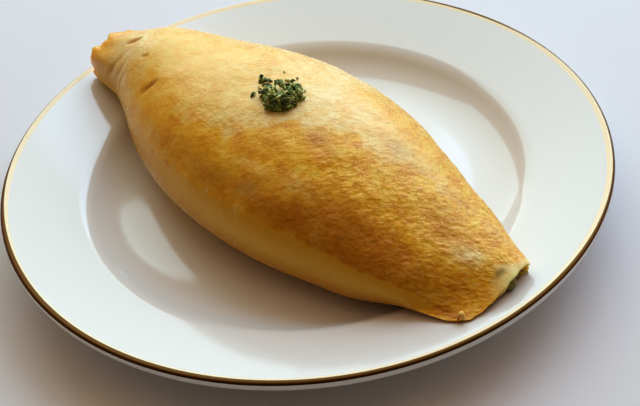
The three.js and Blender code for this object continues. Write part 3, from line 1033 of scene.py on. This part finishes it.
@dataclass
class Omelette:
    """The egg sheet round the rice: gathered at the tail, pressed flat and open at the mouth."""

    plate: RimPlate
    marks: EggMarks = EggMarks()
    # Outline from the tail to the mouth
    tail_x: float = -116
    mouth_x: float = 113
    axis_y: float = -5.5
    half_widths: tuple[float, ...] = (13.3, 24, 37.1, 45.4, 48.2, 46, 38.1, 28.8, 17.6)
    top_heights: tuple[float, ...] = (37.5, 47.8, 51.1, 54.6, 54.9, 51.7, 46, 36.6, 26.4)
    thickness: float = 2
    waist_share: float = 0.36
    roof_power: float = 0.95
    belly_power: float = 0.72
    # Rest on the plate
    gap: float = 0.3
    bridge_start: float = 60
    bridge_end: float = 89
    bridge_clearance: float = 0.5
    # Gathered tail
    tail_reach: float = 0.11
    tail_lean: float = -5
    tail_recess: float = 7
    recess_rings: tuple[float, ...] = (0.1, 0.3, 0.55, 0.75, 0.88)
    pleat_count: int = 7
    pleat_depth: float = 0.045
    pleat_shift: float = 0.6
    frill_waves: tuple[Triple, ...] = ((0.6, 9, 0.5), (0.4, 17, 0))
    frill_span: Span = (0.03, 0)
    flaps: tuple[Triple, ...] = ((76, 18, 2.2), (139, 12, 2.6), (166, 14, 0.8))
    flap_span: Span = (0.025, 0)
    flap_lift: float = 0.1
    neck_folds: tuple[Patch, ...] = (
        Patch(0.082, 150, 0.006, 0.32),
        Patch(0.112, 152, 0.007, 0.36),
        Patch(0.132, 158, 0.006, 0.25),
    )
    neck_fold_middle: float = 150
    neck_fold_slant: float = 0.03
    neck_fold_depth: float = 0.5
    neck_fold_shade: float = 0.4
    # Open mouth
    mouth_reach: float = 0.12
    mouth_lean: float = -1.6
    mouth_skew: float = 8.5
    mouth_slump_power: float = 3
    mouth_waist_share: float = 0.12
    mouth_far_setback: float = 3.2
    mouth_under_setback: float = 9
    mouth_wall: float = 1.3
    mouth_sill: float = 0.43
    mouth_waves: tuple[Triple, ...] = ((0.24, 7, 0), (0.16, 19, 1))
    mouth_swells: tuple[Triple, ...] = (
        (118, 34, 1.5), (180, 10, -2.4), (350, 24, 1.6), (50, 16, 0.8), (314, 24, 6))
    mouth_edge: Span = (0.965, 1)
    mouth_lower: Span = (0, 0.3)
    opening_y: float = 1.8
    opening_half: float = 9.4
    lip_overhang: float = 2.6
    overhang_span: Span = (0.94, 1)
    closed_turns: Span = (94, 108)
    # Rows and columns of the mesh
    stations: int = 352
    columns: int = 256
    under_density: float = 0.18
    under_span: Span = (0.4, 0.75)
    creased_density: Span = (0.7, 1.3)
    creased_from: Span = (0.35, 0.6)
    hollow_start: float = 0.07
    hollow_stations: int = 16
    hollow_crowding: float = 1.7
    # Slits, lumps and creases
    slit_width_share: float = 0.21
    slit_depth: float = 1.0
    slits: tuple[FoldSlit, ...] = (
        FoldSlit(-62.6, -28.2, 58, 9.5, 1),
        FoldSlit(-95.5, -12, 51, 8.5, 0.95),
        FoldSlit(-79.1, -17.7, 41, 4.5, 0.75),
        FoldSlit(-75.1, -23, 46, 3.6, 0.35),
    )
    lump_size: float = 13
    lump_depth: float = 1.9
    crease_size: float = 1.1
    crease_depth: float = 0.85
    crease_heading: float = 47.7
    crease_stretch: float = 0.45

    def rest_height(self, radius: Array) -> Array:
        """Gives the height at which the underside lies above the plate.

        Args:
            radius: distances from the plate's axis.

        Returns:
            The height at each of them.
        """
        floor = self.plate.floor_top + self.gap
        end = self.plate.rim_top(self.bridge_end) + self.bridge_clearance
        t = np.clip((radius - self.bridge_start) / (self.bridge_end - self.bridge_start), 0, 1)
        bridge = floor + (end - floor) * t * t * (2 - t)
        return np.where(radius > self.bridge_end, self.plate.rim_top(radius) + self.bridge_clearance, bridge)

    def skin(self, share: Array, turn: Array, inset: float = 0) -> Array:
        """Gives points of the skin.

        Args:
            share: shares of the length.
            turn: turns round the axis.
            inset: how far the points lie inside the skin.

        Returns:
            An array of points.
        """
        share, turn = np.broadcast_arrays(np.asarray(share, float), np.asarray(turn, float))
        to_tail = eased(share, (self.tail_reach, 0))
        to_mouth = eased(share, (1 - self.mouth_reach, 1))
        across, rise = np.cos(turn), np.sin(turn)
        setback = (self.mouth_far_setback * ((1 + across) / 2) ** 2
                   + self.mouth_under_setback * np.maximum(-rise, 0))
        x = lerp(self.tail_x, self.mouth_x - setback * to_mouth, share)
        base = self.rest_height(np.abs(x)) + inset
        top = along(share, self.top_heights) - inset
        waist = lerp(base, top, lerp(self.waist_share, self.mouth_waist_share, to_mouth))
        pleat = 1 + self.pleat_depth * to_tail * np.cos(self.pleat_count * turn + self.pleat_shift)
        half = (along(share, self.half_widths) - inset) * pleat
        skew = self.mouth_skew * to_mouth * np.maximum(rise, 0)
        middle = self.axis_y + self.tail_lean * to_tail + self.mouth_lean * to_mouth + skew
        y = middle + half * np.sign(across) * np.abs(across) ** self.roof_power
        reach = np.where(rise > 0, top - waist, waist - base)
        slump = lerp(self.roof_power, self.mouth_slump_power, to_mouth)
        roof = np.where(across < 0, slump, self.roof_power)
        power = np.where(rise > 0, roof, self.belly_power)
        z = waist + np.sign(rise) * reach * pleat * np.abs(rise) ** power
        return np.stack([x, y, np.maximum(z, self.rest_height(np.hypot(x, y)) + inset)], axis=-1)

    def hollow(self, share: Array, turn: Array, clearance: float = 0) -> Array:
        """Gives points of the hollow inside the sheet, which narrows to the opening at the mouth.

        Args:
            share: shares of the length.
            turn: turns round the axis.
            clearance: how far the points lie inside the hollow.

        Returns:
            An array of points.
        """
        points = self.skin(share, turn, self.thickness + clearance)
        to_mouth = eased(share, (1 - self.mouth_reach, 1))
        floor = self.rest_height(np.hypot(points[..., 0], self.opening_y)) + clearance
        arch = along(share, self.top_heights) - self.mouth_wall - clearance - floor
        y = self.opening_y + (self.opening_half - clearance) * np.cos(turn)
        z = floor + self.mouth_sill + arch * np.maximum(np.sin(turn), 0)
        points[..., 1] = lerp(points[..., 1], y, to_mouth)
        points[..., 2] = lerp(points[..., 2], z, to_mouth)
        return points

    def turns(self) -> Array:
        """Spaces the columns, closer together where the skin shows than underneath.

        Returns:
            The columns' turns.
        """
        fine = np.linspace(0, TAU, FINE_STEPS)
        density = lerp(1, self.under_density, eased(-np.sin(fine), self.under_span))
        return crowded(fine, density, self.columns)[:-1]

    def shares(self) -> Array:
        """Gives the rows' shares of the length, closer together where the skin is creased."""
        fine = np.linspace(0, 1, FINE_STEPS)
        return crowded(fine, lerp(*self.creased_density, eased(fine, self.creased_from)), self.stations)

    def hollow_shares(self) -> Array:
        """Gives the hollow's stations from the mouth to the tail, closer together towards the mouth."""
        steps = np.linspace(0, 1, self.hollow_stations + 1)
        return lerp(1, self.hollow_start, steps ** self.hollow_crowding)

    def on_skin(self, x: Array, y: Array) -> Array:
        """Gives points of the skin's upper side.

        Args:
            x: places in plan along the omelette.
            y: places in plan across it.

        Returns:
            The point over each place.
        """
        share = np.array((x - self.tail_x) / (self.mouth_x - self.tail_x))
        half = along(share, self.half_widths)
        return self.skin(share, np.arccos(np.clip((y - self.axis_y) / half, -1, 1)))

    def frayed(self, points: Array, share: Array, turn: Array) -> Array:
        """Draws out the flaps of the tail and frays the edge of the mouth.

        Args:
            points: the grid of skin points, rows along the length and columns around.
            share: the rows' shares of the length.
            turn: the columns' turns.

        Returns:
            The changed grid.
        """
        points = points.copy()
        push = eased(share, self.mouth_edge) * swells(turn, self.mouth_swells)
        flap = eased(share, self.flap_span) * swells(turn, self.flaps)
        points[..., 0] += push - eased(share, self.mouth_edge) * waves(turn, self.mouth_waves)
        points[..., 0] -= flap + eased(share, self.frill_span) * waves(turn, self.frill_waves)
        points[..., 2] += push * self.plate.rim_slope * eased(-np.sin(turn), self.mouth_lower)
        points[..., 2] += self.flap_lift * flap * np.sin(turn)
        return points

    def pressed(self, points: Array, share: Array, turn: Array) -> tuple[Array, Array]:
        """Presses the fold slits and the neck's pleats into a grid of skin points.

        Args:
            points: the grid, rows along the length and columns around.
            share: the rows' shares of the length.
            turn: the columns' turns.

        Returns:
            The pressed grid and the painted shade of the slits and the neck's folds, from 0 to 1.
        """
        around = np.roll(points, -1, axis=1) - np.roll(points, 1, axis=1)
        normal = np.cross(around, np.gradient(points, axis=0))
        normal /= np.maximum(np.linalg.norm(normal, axis=-1, keepdims=True), TINY)
        deep = np.zeros(points.shape[:2])
        for slit in self.slits:
            away = points[..., :2] - (slit.x, slit.y)
            forward, sideways = in_plan(away[..., 0], away[..., 1], -slit.heading)
            width = slit.length * self.slit_width_share / 2
            inside = np.clip(1 - (2 * forward / slit.length) ** 2, 0, 1) * np.exp(-(sideways / width) ** 2)
            deep = np.maximum(deep, slit.strength * inside * (points[..., 2] > self.plate.height))
        slanted = share + self.neck_fold_slant * (turn - math.radians(self.neck_fold_middle))
        fold = strongest(self.neck_folds, slanted, turn)
        depth = deep * self.slit_depth + fold * self.neck_fold_depth
        return points - normal * depth[..., None], np.maximum(deep, self.neck_fold_shade * fold)

    def build(self, finish: Material) -> Object:
        """Makes the egg sheet from the tail's recess over the outside, round the mouth and into the hollow.

        Args:
            finish: the egg's finish.

        Returns:
            The egg sheet.
        """
        turn = self.turns()[None, :]
        share = self.shares()[:, None]
        outside, deep = self.pressed(self.frayed(self.skin(share, turn), share, turn), share, turn)
        tail, middle = outside[0], outside[0].mean(0)
        recess = np.stack([lerp(middle, tail, out) + (self.tail_recess * (1 - out), 0, 0)
                           for out in self.recess_rings])
        inside = self.hollow_shares()[:, None]
        hollow = self.frayed(self.hollow(inside, turn), inside, turn)
        overhang = eased(inside, self.overhang_span) * np.sqrt(np.maximum(np.sin(turn), 0))
        hollow[..., 0] -= self.lip_overhang * overhang
        foot = outside[-1:].copy()
        foot[..., 0] -= self.lip_overhang / 2
        foot[..., 2] = self.rest_height(np.hypot(foot[..., 0], foot[..., 1]))
        shut = eased(np.degrees(turn), self.closed_turns) * (turn < math.pi)
        edge = lerp((outside[-1:] + hollow[:1]) / 2 + (self.mouth_sill, 0, 0), foot, shut[..., None])
        rings = np.concatenate([recess, outside, edge, hollow])
        piece = new_tube("egg_sheet", rings)
        masks = self.marks.masks(*np.broadcast_arrays(share, turn))
        # The painted shade of the slits and folds joins the slit layer
        masks[Mask.SLIT] = np.maximum(deep, masks[Mask.SLIT])
        layers = {mask: np.zeros(rings.shape[:2]) for mask in masks}
        for mask, values in masks.items():
            layers[mask][len(recess):len(recess) + len(outside)] = values
        layers[Mask.INSIDE][:len(recess)] = 1
        layers[Mask.INSIDE][-len(hollow):] = 1
        layers[Mask.LIP][-len(hollow) - 1] = 1 - shut[0]
        for mask, values in layers.items():
            store(piece, mask.value, np.append(values, values[[0, -1]].mean(1)))
        self.crease(piece, finish)
        return mount(piece, "egg_wrap", "egg")

    def crease(self, piece: Object, finish: Material) -> None:
        """Raises the skin's lumps and creases.

        Args:
            piece: the smooth sheet with its masks.
            finish: the egg's finish.
        """
        shape = ShapeTree("creased_skin", {
            "Lump scale": (Input.NUMBER, per_metre(self.lump_size)),
            "Lump depth": (Input.NUMBER, self.lump_depth * MM),
            "Crease scale": (Input.NUMBER, per_metre(self.crease_size)),
            "Crease depth": (Input.NUMBER, self.crease_depth * MM),
            "Crease heading": (Input.NUMBER, -math.radians(self.crease_heading)),
            "Crease stretch": (Input.NUMBER, self.crease_stretch),
            "Finish": (Input.FINISH, finish),
        })
        place = shape.add("GeometryNodeInputPosition")
        turned = shape.add("ShaderNodeVectorRotate", {
            "Vector": place, "Angle": shape.inputs["Crease heading"]}, rotation_type="Z_AXIS")
        stretch = shape.add("ShaderNodeCombineXYZ", (shape.inputs["Crease stretch"], 1.0, 1.0))
        stretched = shape.add("ShaderNodeVectorMath", (turned, stretch), operation="MULTIPLY")
        crepe = shape.add("GeometryNodeInputNamedAttribute", {"Name": Mask.CREPE.value}, data_type="FLOAT")
        fine = shape.add("ShaderNodeMath", (crepe, crepe), operation="MULTIPLY")
        lump = shape.add("ShaderNodeTexNoise", {
            "Vector": place, "Scale": shape.inputs["Lump scale"], "Detail": 2.6})
        crease = shape.add("ShaderNodeTexNoise", {
            "Vector": stretched, "Scale": shape.inputs["Crease scale"], "Detail": 2.0, "Roughness": 0.6,
            "Distortion": 0.8})
        height: Node | float = 0.0
        for noise, mask, title in ((lump, crepe, "Lump depth"), (crease, fine, "Crease depth")):
            level = shape.add("ShaderNodeMath", (noise, NOISE_MIDDLE), operation="SUBTRACT")
            masked = shape.add("ShaderNodeMath", (level, mask), operation="MULTIPLY")
            height = shape.add("ShaderNodeMath", (
                masked, shape.inputs[title], height), operation="MULTIPLY_ADD")
        normal = shape.add("GeometryNodeInputNormal")
        offset = shape.add("ShaderNodeVectorMath", {"Vector": normal, "Scale": height}, operation="SCALE")
        kept = shape.add("GeometryNodeStoreNamedAttribute", {
            "Geometry": shape.inputs["Geometry"], "Name": Mask.CREASE.value, "Value": crease},
            data_type="FLOAT", domain="POINT")
        raised = shape.add("GeometryNodeSetPosition", {"Geometry": kept, "Offset": offset})
        shape.run(piece, raised, {"Finish": None})


@dataclass
class RiceFilling:
    """The rice inside the sheet: a core along the hollow with whole grains on the end behind the mouth."""

    omelette: Omelette
    start: float = 0.074
    end: float = 0.937
    stations: int = 60
    sides: int = 72
    clearance: float = 0.45
    front_rings: tuple[float, ...] = (0.86, 0.6, 0.3)
    front_bulge: float = 1.6
    grain_length: float = 6.4
    grain_width: float = 2.8
    grain_flatness: float = 0.85
    grain_bend: float = 0.35
    grain_ends: Span = (0.06, 0.94)
    grain_bluntness: float = 0.55
    grain_sides: int = 8
    grain_rings: int = 7
    grain_count: int = 46
    grain_proud: Span = (0.3, 1.2)
    grain_sizes: Span = (0.85, 1.0)
    grain_tilt: float = 0.5
    seed: int = 11

    def grain(self) -> Object:
        """Makes one grain of rice, rounded at its ends and a little bent, lying across.

        Returns:
            The grain, at the origin.
        """
        share = np.linspace(*self.grain_ends, self.grain_rings)[:, None]
        turn = circle(self.grain_sides)
        arch = np.sin(share * math.pi)
        thick = self.grain_width / 2 * arch ** self.grain_bluntness
        rings = np.stack([thick * np.cos(turn), (share - 0.5) * self.grain_length + 0 * turn,
                          thick * np.sin(turn) * self.grain_flatness + self.grain_bend * arch], axis=-1)
        return new_tube("rice_grain", rings)

    def build(self, finish: Material) -> Object:
        """Makes the core and sets grains on its front.

        Args:
            finish: the rice's finish.

        Returns:
            The filling.
        """
        rng = np.random.default_rng(self.seed)
        share = np.linspace(self.start, self.end, self.stations)[:, None]
        body = self.omelette.hollow(share, circle(self.sides), self.clearance)
        edge, heart = body[-1], body[-1].mean(0)
        front = np.stack([lerp(heart, edge, out) + (self.front_bulge * (1 - out * out), 0, 0)
                          for out in self.front_rings])
        out = np.sqrt(rng.uniform(0, 1, self.grain_count))
        turn = rng.uniform(0, TAU, self.grain_count)
        spots = lerp(heart, self.omelette.hollow(np.array(self.end), turn, self.grain_width), out[:, None])
        proud = rng.uniform(*self.grain_proud, self.grain_count)
        spots[:, 0] += self.front_bulge * (1 - out ** 2) + proud
        piece = new_tube("rice_grains", np.concatenate([body, front]), spots)
        sizes = rng.uniform(*self.grain_sizes, self.grain_count)
        strew(piece, sizes, [self.grain()], self.grain_tilt, self.seed, finish)
        return mount(piece, "rice_filling", "rice")


@dataclass
class GreenPea:
    """The cooked pea in the mouth, a little squashed and dimpled."""

    middle: Triple = (110.8, 0.4, 23.1)
    radius: float = 3.2
    squash: float = 0.85
    rings: int = 26
    sides: int = 40
    pole_gap: float = 0.08
    dimple_depth: float = 0.09
    dimple_count: int = 5
    dimple_twist: float = 2
    dimple_rows: float = 3

    def build(self, finish: Material) -> Object:
        """Makes the pea.

        Args:
            finish: the pea's finish.

        Returns:
            The pea.
        """
        polar = np.linspace(self.pole_gap, math.pi - self.pole_gap, self.rings)[:, None]
        turn = circle(self.sides)
        dimple = np.sin(self.dimple_count * turn + self.dimple_twist * polar)
        dimple = dimple * np.sin(self.dimple_rows * polar)
        radius = self.radius * (1 - self.dimple_depth * (1 + dimple) / 2)
        rings = np.stack([radius * np.sin(polar) * np.cos(turn), -radius * np.sin(polar) * np.sin(turn),
                          -radius * np.cos(polar) * self.squash], axis=-1)
        piece = new_tube("cooked_pea", rings + self.middle)
        piece.data.materials.append(finish)
        return mount(piece, "green_pea", "pea")


@dataclass
class ParsleyHeap:
    """Chopped curly parsley on the ridge: a low core, leaf bits over it and a few loose bits beside it."""

    omelette: Omelette
    x: float = -2.2
    y: float = -6.4
    heading: float = 46
    length: float = 19
    width: float = 20
    height: float = 7.2
    core_share: float = 0.5
    core_shift: Point = (2.2, -1.7)
    core_start: float = 0.1
    rings: int = 8
    sides: int = 28
    # Bits over the core
    spread_share: float = 0.76
    rise_share: float = 0.72
    rise_spread: Span = (0.6, 1.05)
    bit_count: int = 420
    bit_lift: float = 0.4
    bit_sizes: Span = (0.5, 1.2)
    bit_tilt: float = 1.1
    ragged_waves: tuple[Triple, ...] = ((0.12, 3, 1.2), (0.084, 5, 0.4))
    ragged_swells: tuple[Triple, ...] = ((236, 42, -0.24), (314, 40, 0.14))
    gaps: tuple[Triple, ...] = ((-5.9, -3.4, 2.2), (-9, -2.4, 1.5))
    gap_lean: Triple = (0.61, -0.47, 0.64)
    thinned_share: float = 0.7
    # Loose bits: place in plan and size
    loose_lift: float = 0.35
    loose_bits: tuple[Triple, ...] = (
        (-12.7, -11.5, 1.0), (-13.4, -10.6, 0.6), (0.7, 3.0, 0.6), (-8.2, 7, 0.45), (-15.2, 6.2, 0.3),
        (-19.2, -2.2, 0.7), (-16.5, -4.6, 1.1), (-17.2, -3.2, 1.0), (-15.9, -2.1, 0.9), (-14.2, -1.3, 0.9),
        (-12.4, -0.2, 0.8), (-11.6, 1.2, 0.6), (-9.2, 2.4, 0.9), (-7.6, 3.4, 1.0), (-5.7, 3.6, 1.0),
        (-3.4, 3.4, 1.0), (-2.4, 2.2, 0.9), (-10.6, -7.2, 0.7), (-8.7, -9.9, 0.6),
        (-13.2, -5.0, 0.9), (-12.3, -3.4, 0.8), (-13.4, -6.8, 0.7), (-10.8, -4.4, 0.9))
    # Shape of a leaf bit
    bit_kinds: int = 6
    bit_radius: float = 1.25
    bit_thickness: float = 0.42
    bit_spokes: int = 10
    bit_inner: float = 0.55
    lobe_depth: float = 0.26
    notch_depth: float = 0.1
    notch_count: int = 5
    ruffle_depth: float = 0.4
    ruffle_shift: float = 1.7
    cup_depth: float = 0.35
    seed: int = 5

    def place(self, out: Array, turn: Array) -> Array:
        """Gives points on the egg under the heap.

        Args:
            out: shares of the heap's reach from its middle.
            turn: turns round its middle.

        Returns:
            An array of points.
        """
        forward, sideways = out * self.length / 2 * np.cos(turn), out * self.width / 2 * np.sin(turn)
        x, y = in_plan(forward, sideways, self.heading)
        return self.omelette.on_skin(self.x + x, self.y + y)

    def leaf_bit(self, kind: int) -> Object:
        """Makes one thin ruffled leaf bit.

        Args:
            kind: its number, which sets its lobes and ruffles.

        Returns:
            The leaf bit, at the origin.
        """
        turn = circle(self.bit_spokes)
        lobes = 2 + kind % 3
        outline = 1 + self.lobe_depth * np.cos(lobes * turn + kind)
        outline += self.notch_depth * np.sin(self.notch_count * turn + 2 * kind)
        ruffle = self.ruffle_depth * np.sin((lobes + 1) * turn + self.ruffle_shift * kind)
        rings = []
        for side, share in ((-1, self.bit_inner), (-1, 1.0), (1, 1.0), (1, self.bit_inner)):
            reach = self.bit_radius * outline * share
            rise = self.bit_radius * (ruffle - self.cup_depth) * share ** 2 + side * self.bit_thickness / 2
            rings.append(np.stack([reach * np.cos(turn), reach * np.sin(turn), rise], axis=1))
        return new_tube(f"leaf_bit_{kind}", np.stack(rings))

    def core(self) -> Array:
        """Draws the core from the middle of its underside to its top.

        Returns:
            Its rings of points.
        """
        out = np.linspace(self.core_start, 1, self.rings)[:, None]
        low = self.place(out * self.core_share, circle(self.sides))
        out = np.linspace(1, self.core_start, self.rings)[1:, None]
        high = self.place(out * self.core_share, circle(self.sides))
        high[..., 2] += self.height * self.core_share * np.sqrt(1 - out ** 2)
        return np.concatenate([low, high]) + (*self.core_shift, self.omelette.gap)

    def heaped_spots(self, rng: np.random.Generator) -> Array:
        """Gives the spots of the bits over the core, thinned out behind it and clear of the gaps.

        Args:
            rng: the source of random numbers.

        Returns:
            An array of points.
        """
        number = np.arange(self.bit_count)
        out = np.sqrt((number + 0.5) / self.bit_count)
        turn = number * GOLDEN_TURN
        ragged = 1 + waves(turn, self.ragged_waves) + swells(turn, self.ragged_swells)
        spots = self.place(out * self.spread_share * ragged, turn)
        dome = np.sqrt(np.clip(1 - out ** 2, 0, 1)) * self.height * self.rise_share
        rise = rng.uniform(*self.rise_spread, self.bit_count)
        spots[:, 2] += dome * rise + self.bit_radius * self.bit_lift
        before = (spots[:, :2] - (self.x, self.y)) @ self.core_shift >= 0
        kept = before | (rng.uniform(0, 1, self.bit_count) > self.thinned_share)
        for x, y, reach in self.gaps:
            away = spots - self.omelette.on_skin(x, y)
            kept &= np.linalg.norm(np.cross(away, self.gap_lean), axis=1) > reach
        return spots[kept]

    def build(self, finish: Material) -> Object:
        """Makes the core and strews the leaf bits.

        Args:
            finish: the parsley's finish.

        Returns:
            The heap.
        """
        rng = np.random.default_rng(self.seed)
        heaped = self.heaped_spots(rng)
        loose = np.array([self.omelette.on_skin(x, y) for x, y, size in self.loose_bits])
        loose[:, 2] += self.bit_radius * self.loose_lift
        loose_sizes = [size for x, y, size in self.loose_bits]
        sizes = np.append(rng.uniform(*self.bit_sizes, len(heaped)), loose_sizes)
        piece = new_tube("parsley_bits", self.core(), np.concatenate([heaped, loose]))
        bits = [self.leaf_bit(kind) for kind in range(self.bit_kinds)]
        strew(piece, sizes, bits, self.bit_tilt, self.seed, finish)
        return mount(piece, "parsley", "parsley")


@dataclass
class EggCurl:
    """A small arched scrap of the sheet's edge that stands up at the near corner of the mouth."""

    foot: Triple = (110.4, -23.9, 22.9)
    heading: float = -65
    radius: float = 1.0
    height: float = 1.7
    width: float = 2.2
    thickness: float = 1.3
    lean: float = 0.25
    overrun: float = 0.12
    end_thickness: float = 0.75
    end_width: float = 0.7
    width_shift: float = 0.4
    inner_rise: Span = (-0.2, 0.5)
    pale_strength: float = 0.4
    steps: int = 30
    corners: int = 12

    def build(self, finish: Material) -> Object:
        """Makes the curl.

        Args:
            finish: the egg's finish.

        Returns:
            The curl.
        """
        bend = np.linspace(-self.overrun, 1 + self.overrun, self.steps)[:, None] * math.pi
        around = circle(self.corners)
        thick = self.thickness / 2 * np.sin(around) * lerp(self.end_thickness, 1, np.sin(bend))
        side = self.width / 2 * np.cos(around) * lerp(self.end_width, 1, np.sin(bend + self.width_shift))
        across = -(self.radius + thick) * np.cos(bend)
        rise = (self.height + thick) * np.sin(bend)
        rings = np.stack([*in_plan(side - self.lean * rise, across, self.heading), rise], axis=-1)
        piece = new_tube("egg_curl", rings + self.foot)
        # Painted shade on the curl's inner side, and a touch of the pale colour on its outer side
        inner = np.append(np.tile(eased(-np.sin(around), self.inner_rise), self.steps), [1, 1])
        store(piece, Mask.PALE.value, self.pale_strength * (1 - inner))
        store(piece, Mask.SLIT.value, inner)
        piece.data.materials.append(finish)
        return mount(piece, None, "egg")


@dataclass(frozen=True)
class Panel:
    """A flat light: its colour, direction from the origin, distance, sides and power in watts."""

    name: str
    colour: str
    direction: Triple
    distance: float
    sides: Span
    watts: float

    def build(self) -> None:
        """Hangs the light so that it faces the origin."""
        light = bpy.data.lights.new(self.name, "AREA")
        light.shape = "RECTANGLE"
        light.size, light.size_y = (side * MM for side in self.sides)
        light.energy = self.watts
        light.color = to_linear(self.colour)[:3]
        panel = bpy.data.objects.new(self.name, light)
        bpy.context.scene.collection.objects.link(panel)
        direction = Vector(self.direction).normalized()
        panel.location = direction * self.distance * MM
        panel.rotation_euler = direction.to_track_quat("Z", "Y").to_euler()


@dataclass
class Studio:
    """Camera at the photograph's angle, a pale floor and soft daylight from behind the plate."""

    eye: Triple = (357.8, -273.1, 378.6)
    right: Triple = (0.6708, 0.7360, -0.0913)
    up: Triple = (-0.433, 0.4886, 0.7577)
    lens: float = 78.75
    sensor: float = 36
    near_clip: float = 10
    floor_side: float = 4000
    floor_colour: str = "#E7E7EA"
    floor_roughness: float = 0.8
    window: Panel = Panel("window", "#AFCDFF", (-0.15, 0.75, 0.64), 1600, (1500, 1300), 12.5)
    curtain: Panel = Panel("curtain", "#CAF3FF", (-0.52, 0.59, 0.55), 1600, (2300, 1600), 26.5)
    sky_colour: str = "#FFDBB3"
    sky_strengths: Span = (0.05, 0.745)
    sky_span: Span = (-0.4, 0.8)
    tone_gamma: float = 0.82

    def build_camera(self) -> None:
        """Places the camera."""
        camera = bpy.data.cameras.new("camera")
        camera.lens = self.lens
        camera.sensor_width = self.sensor
        camera.clip_start = self.near_clip * MM
        holder = bpy.data.objects.new("camera", camera)
        bpy.context.scene.collection.objects.link(holder)
        right, up = Vector(self.right).normalized(), Vector(self.up).normalized()
        turned = Matrix((right, up, right.cross(up))).transposed()
        holder.matrix_world = Matrix.Translation(Vector(self.eye) * MM) @ turned.to_4x4()
        bpy.context.scene.camera = holder

    def build_floor(self) -> None:
        """Lays the floor."""
        half = self.floor_side / 2
        corners = np.array([(-half, -half, 0), (half, -half, 0), (half, half, 0), (-half, half, 0)])
        floor = new_piece("floor", corners, [(0, 1, 2, 3)])
        material, _, shader = new_finish("pale_floor")
        connect(shader, {"Base Color": to_linear(self.floor_colour), "Roughness": self.floor_roughness})
        floor.data.materials.append(material)

    def build_light(self) -> None:
        """Hangs the two lights and sets the room's warm light, dim in front and bright behind."""
        self.window.build()
        self.curtain.build()
        world = bpy.data.worlds.new("room")
        world.use_nodes = True
        tree = world.node_tree
        around = add_node(tree, "ShaderNodeTexCoord").outputs["Generated"]
        behind = tuple(Vector(self.curtain.direction).normalized())
        facing = add_node(tree, "ShaderNodeVectorMath", (around, behind), operation="DOT_PRODUCT")
        share = add_node(tree, "ShaderNodeMapRange", (
            facing, *self.sky_span), interpolation_type="SMOOTHSTEP")
        dim, bright = ([part * strength for part in to_linear(self.sky_colour)]
                       for strength in self.sky_strengths)
        tone = add_node(tree, "ShaderNodeMix", {"Factor": share, 6: dim, 7: bright}, data_type="RGBA")
        connect(tree.nodes["Background"], {"Color": tone})
        bpy.context.scene.world = world
        view = bpy.context.scene.view_settings
        view.view_transform = "Standard"
        view.gamma = self.tone_gamma


def main() -> None:
    """Builds the studio and the plate of omurice, piece by piece."""
    logging.basicConfig(level=logging.INFO, format="%(name)s: %(message)s")
    studio = Studio()
    studio.build_camera()
    studio.build_floor()
    studio.build_light()
    plate = RimPlate()
    plate.build(Glaze().material(), Gilding().material())
    omelette = Omelette(plate)
    egg = FriedEgg().material()
    omelette.build(egg)
    EggCurl().build(egg)
    # Rice fried with tomato: moist orange-brown grains, each a little lighter or darker
    rice = Speckled("cooked_rice", ("#B86A24", "#E0B070"), roughness=0.4, grain_size=1.4, grain_depth=0.1)
    RiceFilling(omelette).build(rice.material())
    # Cooked pea skin: dull olive green with a moist gloss
    pea = Speckled("cooked_pea", ("#6A6608", "#A29C1E"), roughness=0.3, grain_size=0.9, grain_depth=0.08)
    GreenPea().build(pea.material())
    # Chopped parsley leaf: dark moist green with lighter bits among it, its palest tone partly painted
    # highlight
    parsley = Speckled("chopped_parsley", ("#364405", "#788E12", "#E0E08A"), roughness=0.4, grain_size=1.1,
                       grain_depth=0.12)
    ParsleyHeap(omelette).build(parsley.material())


if __name__ == "__main__":
    main()
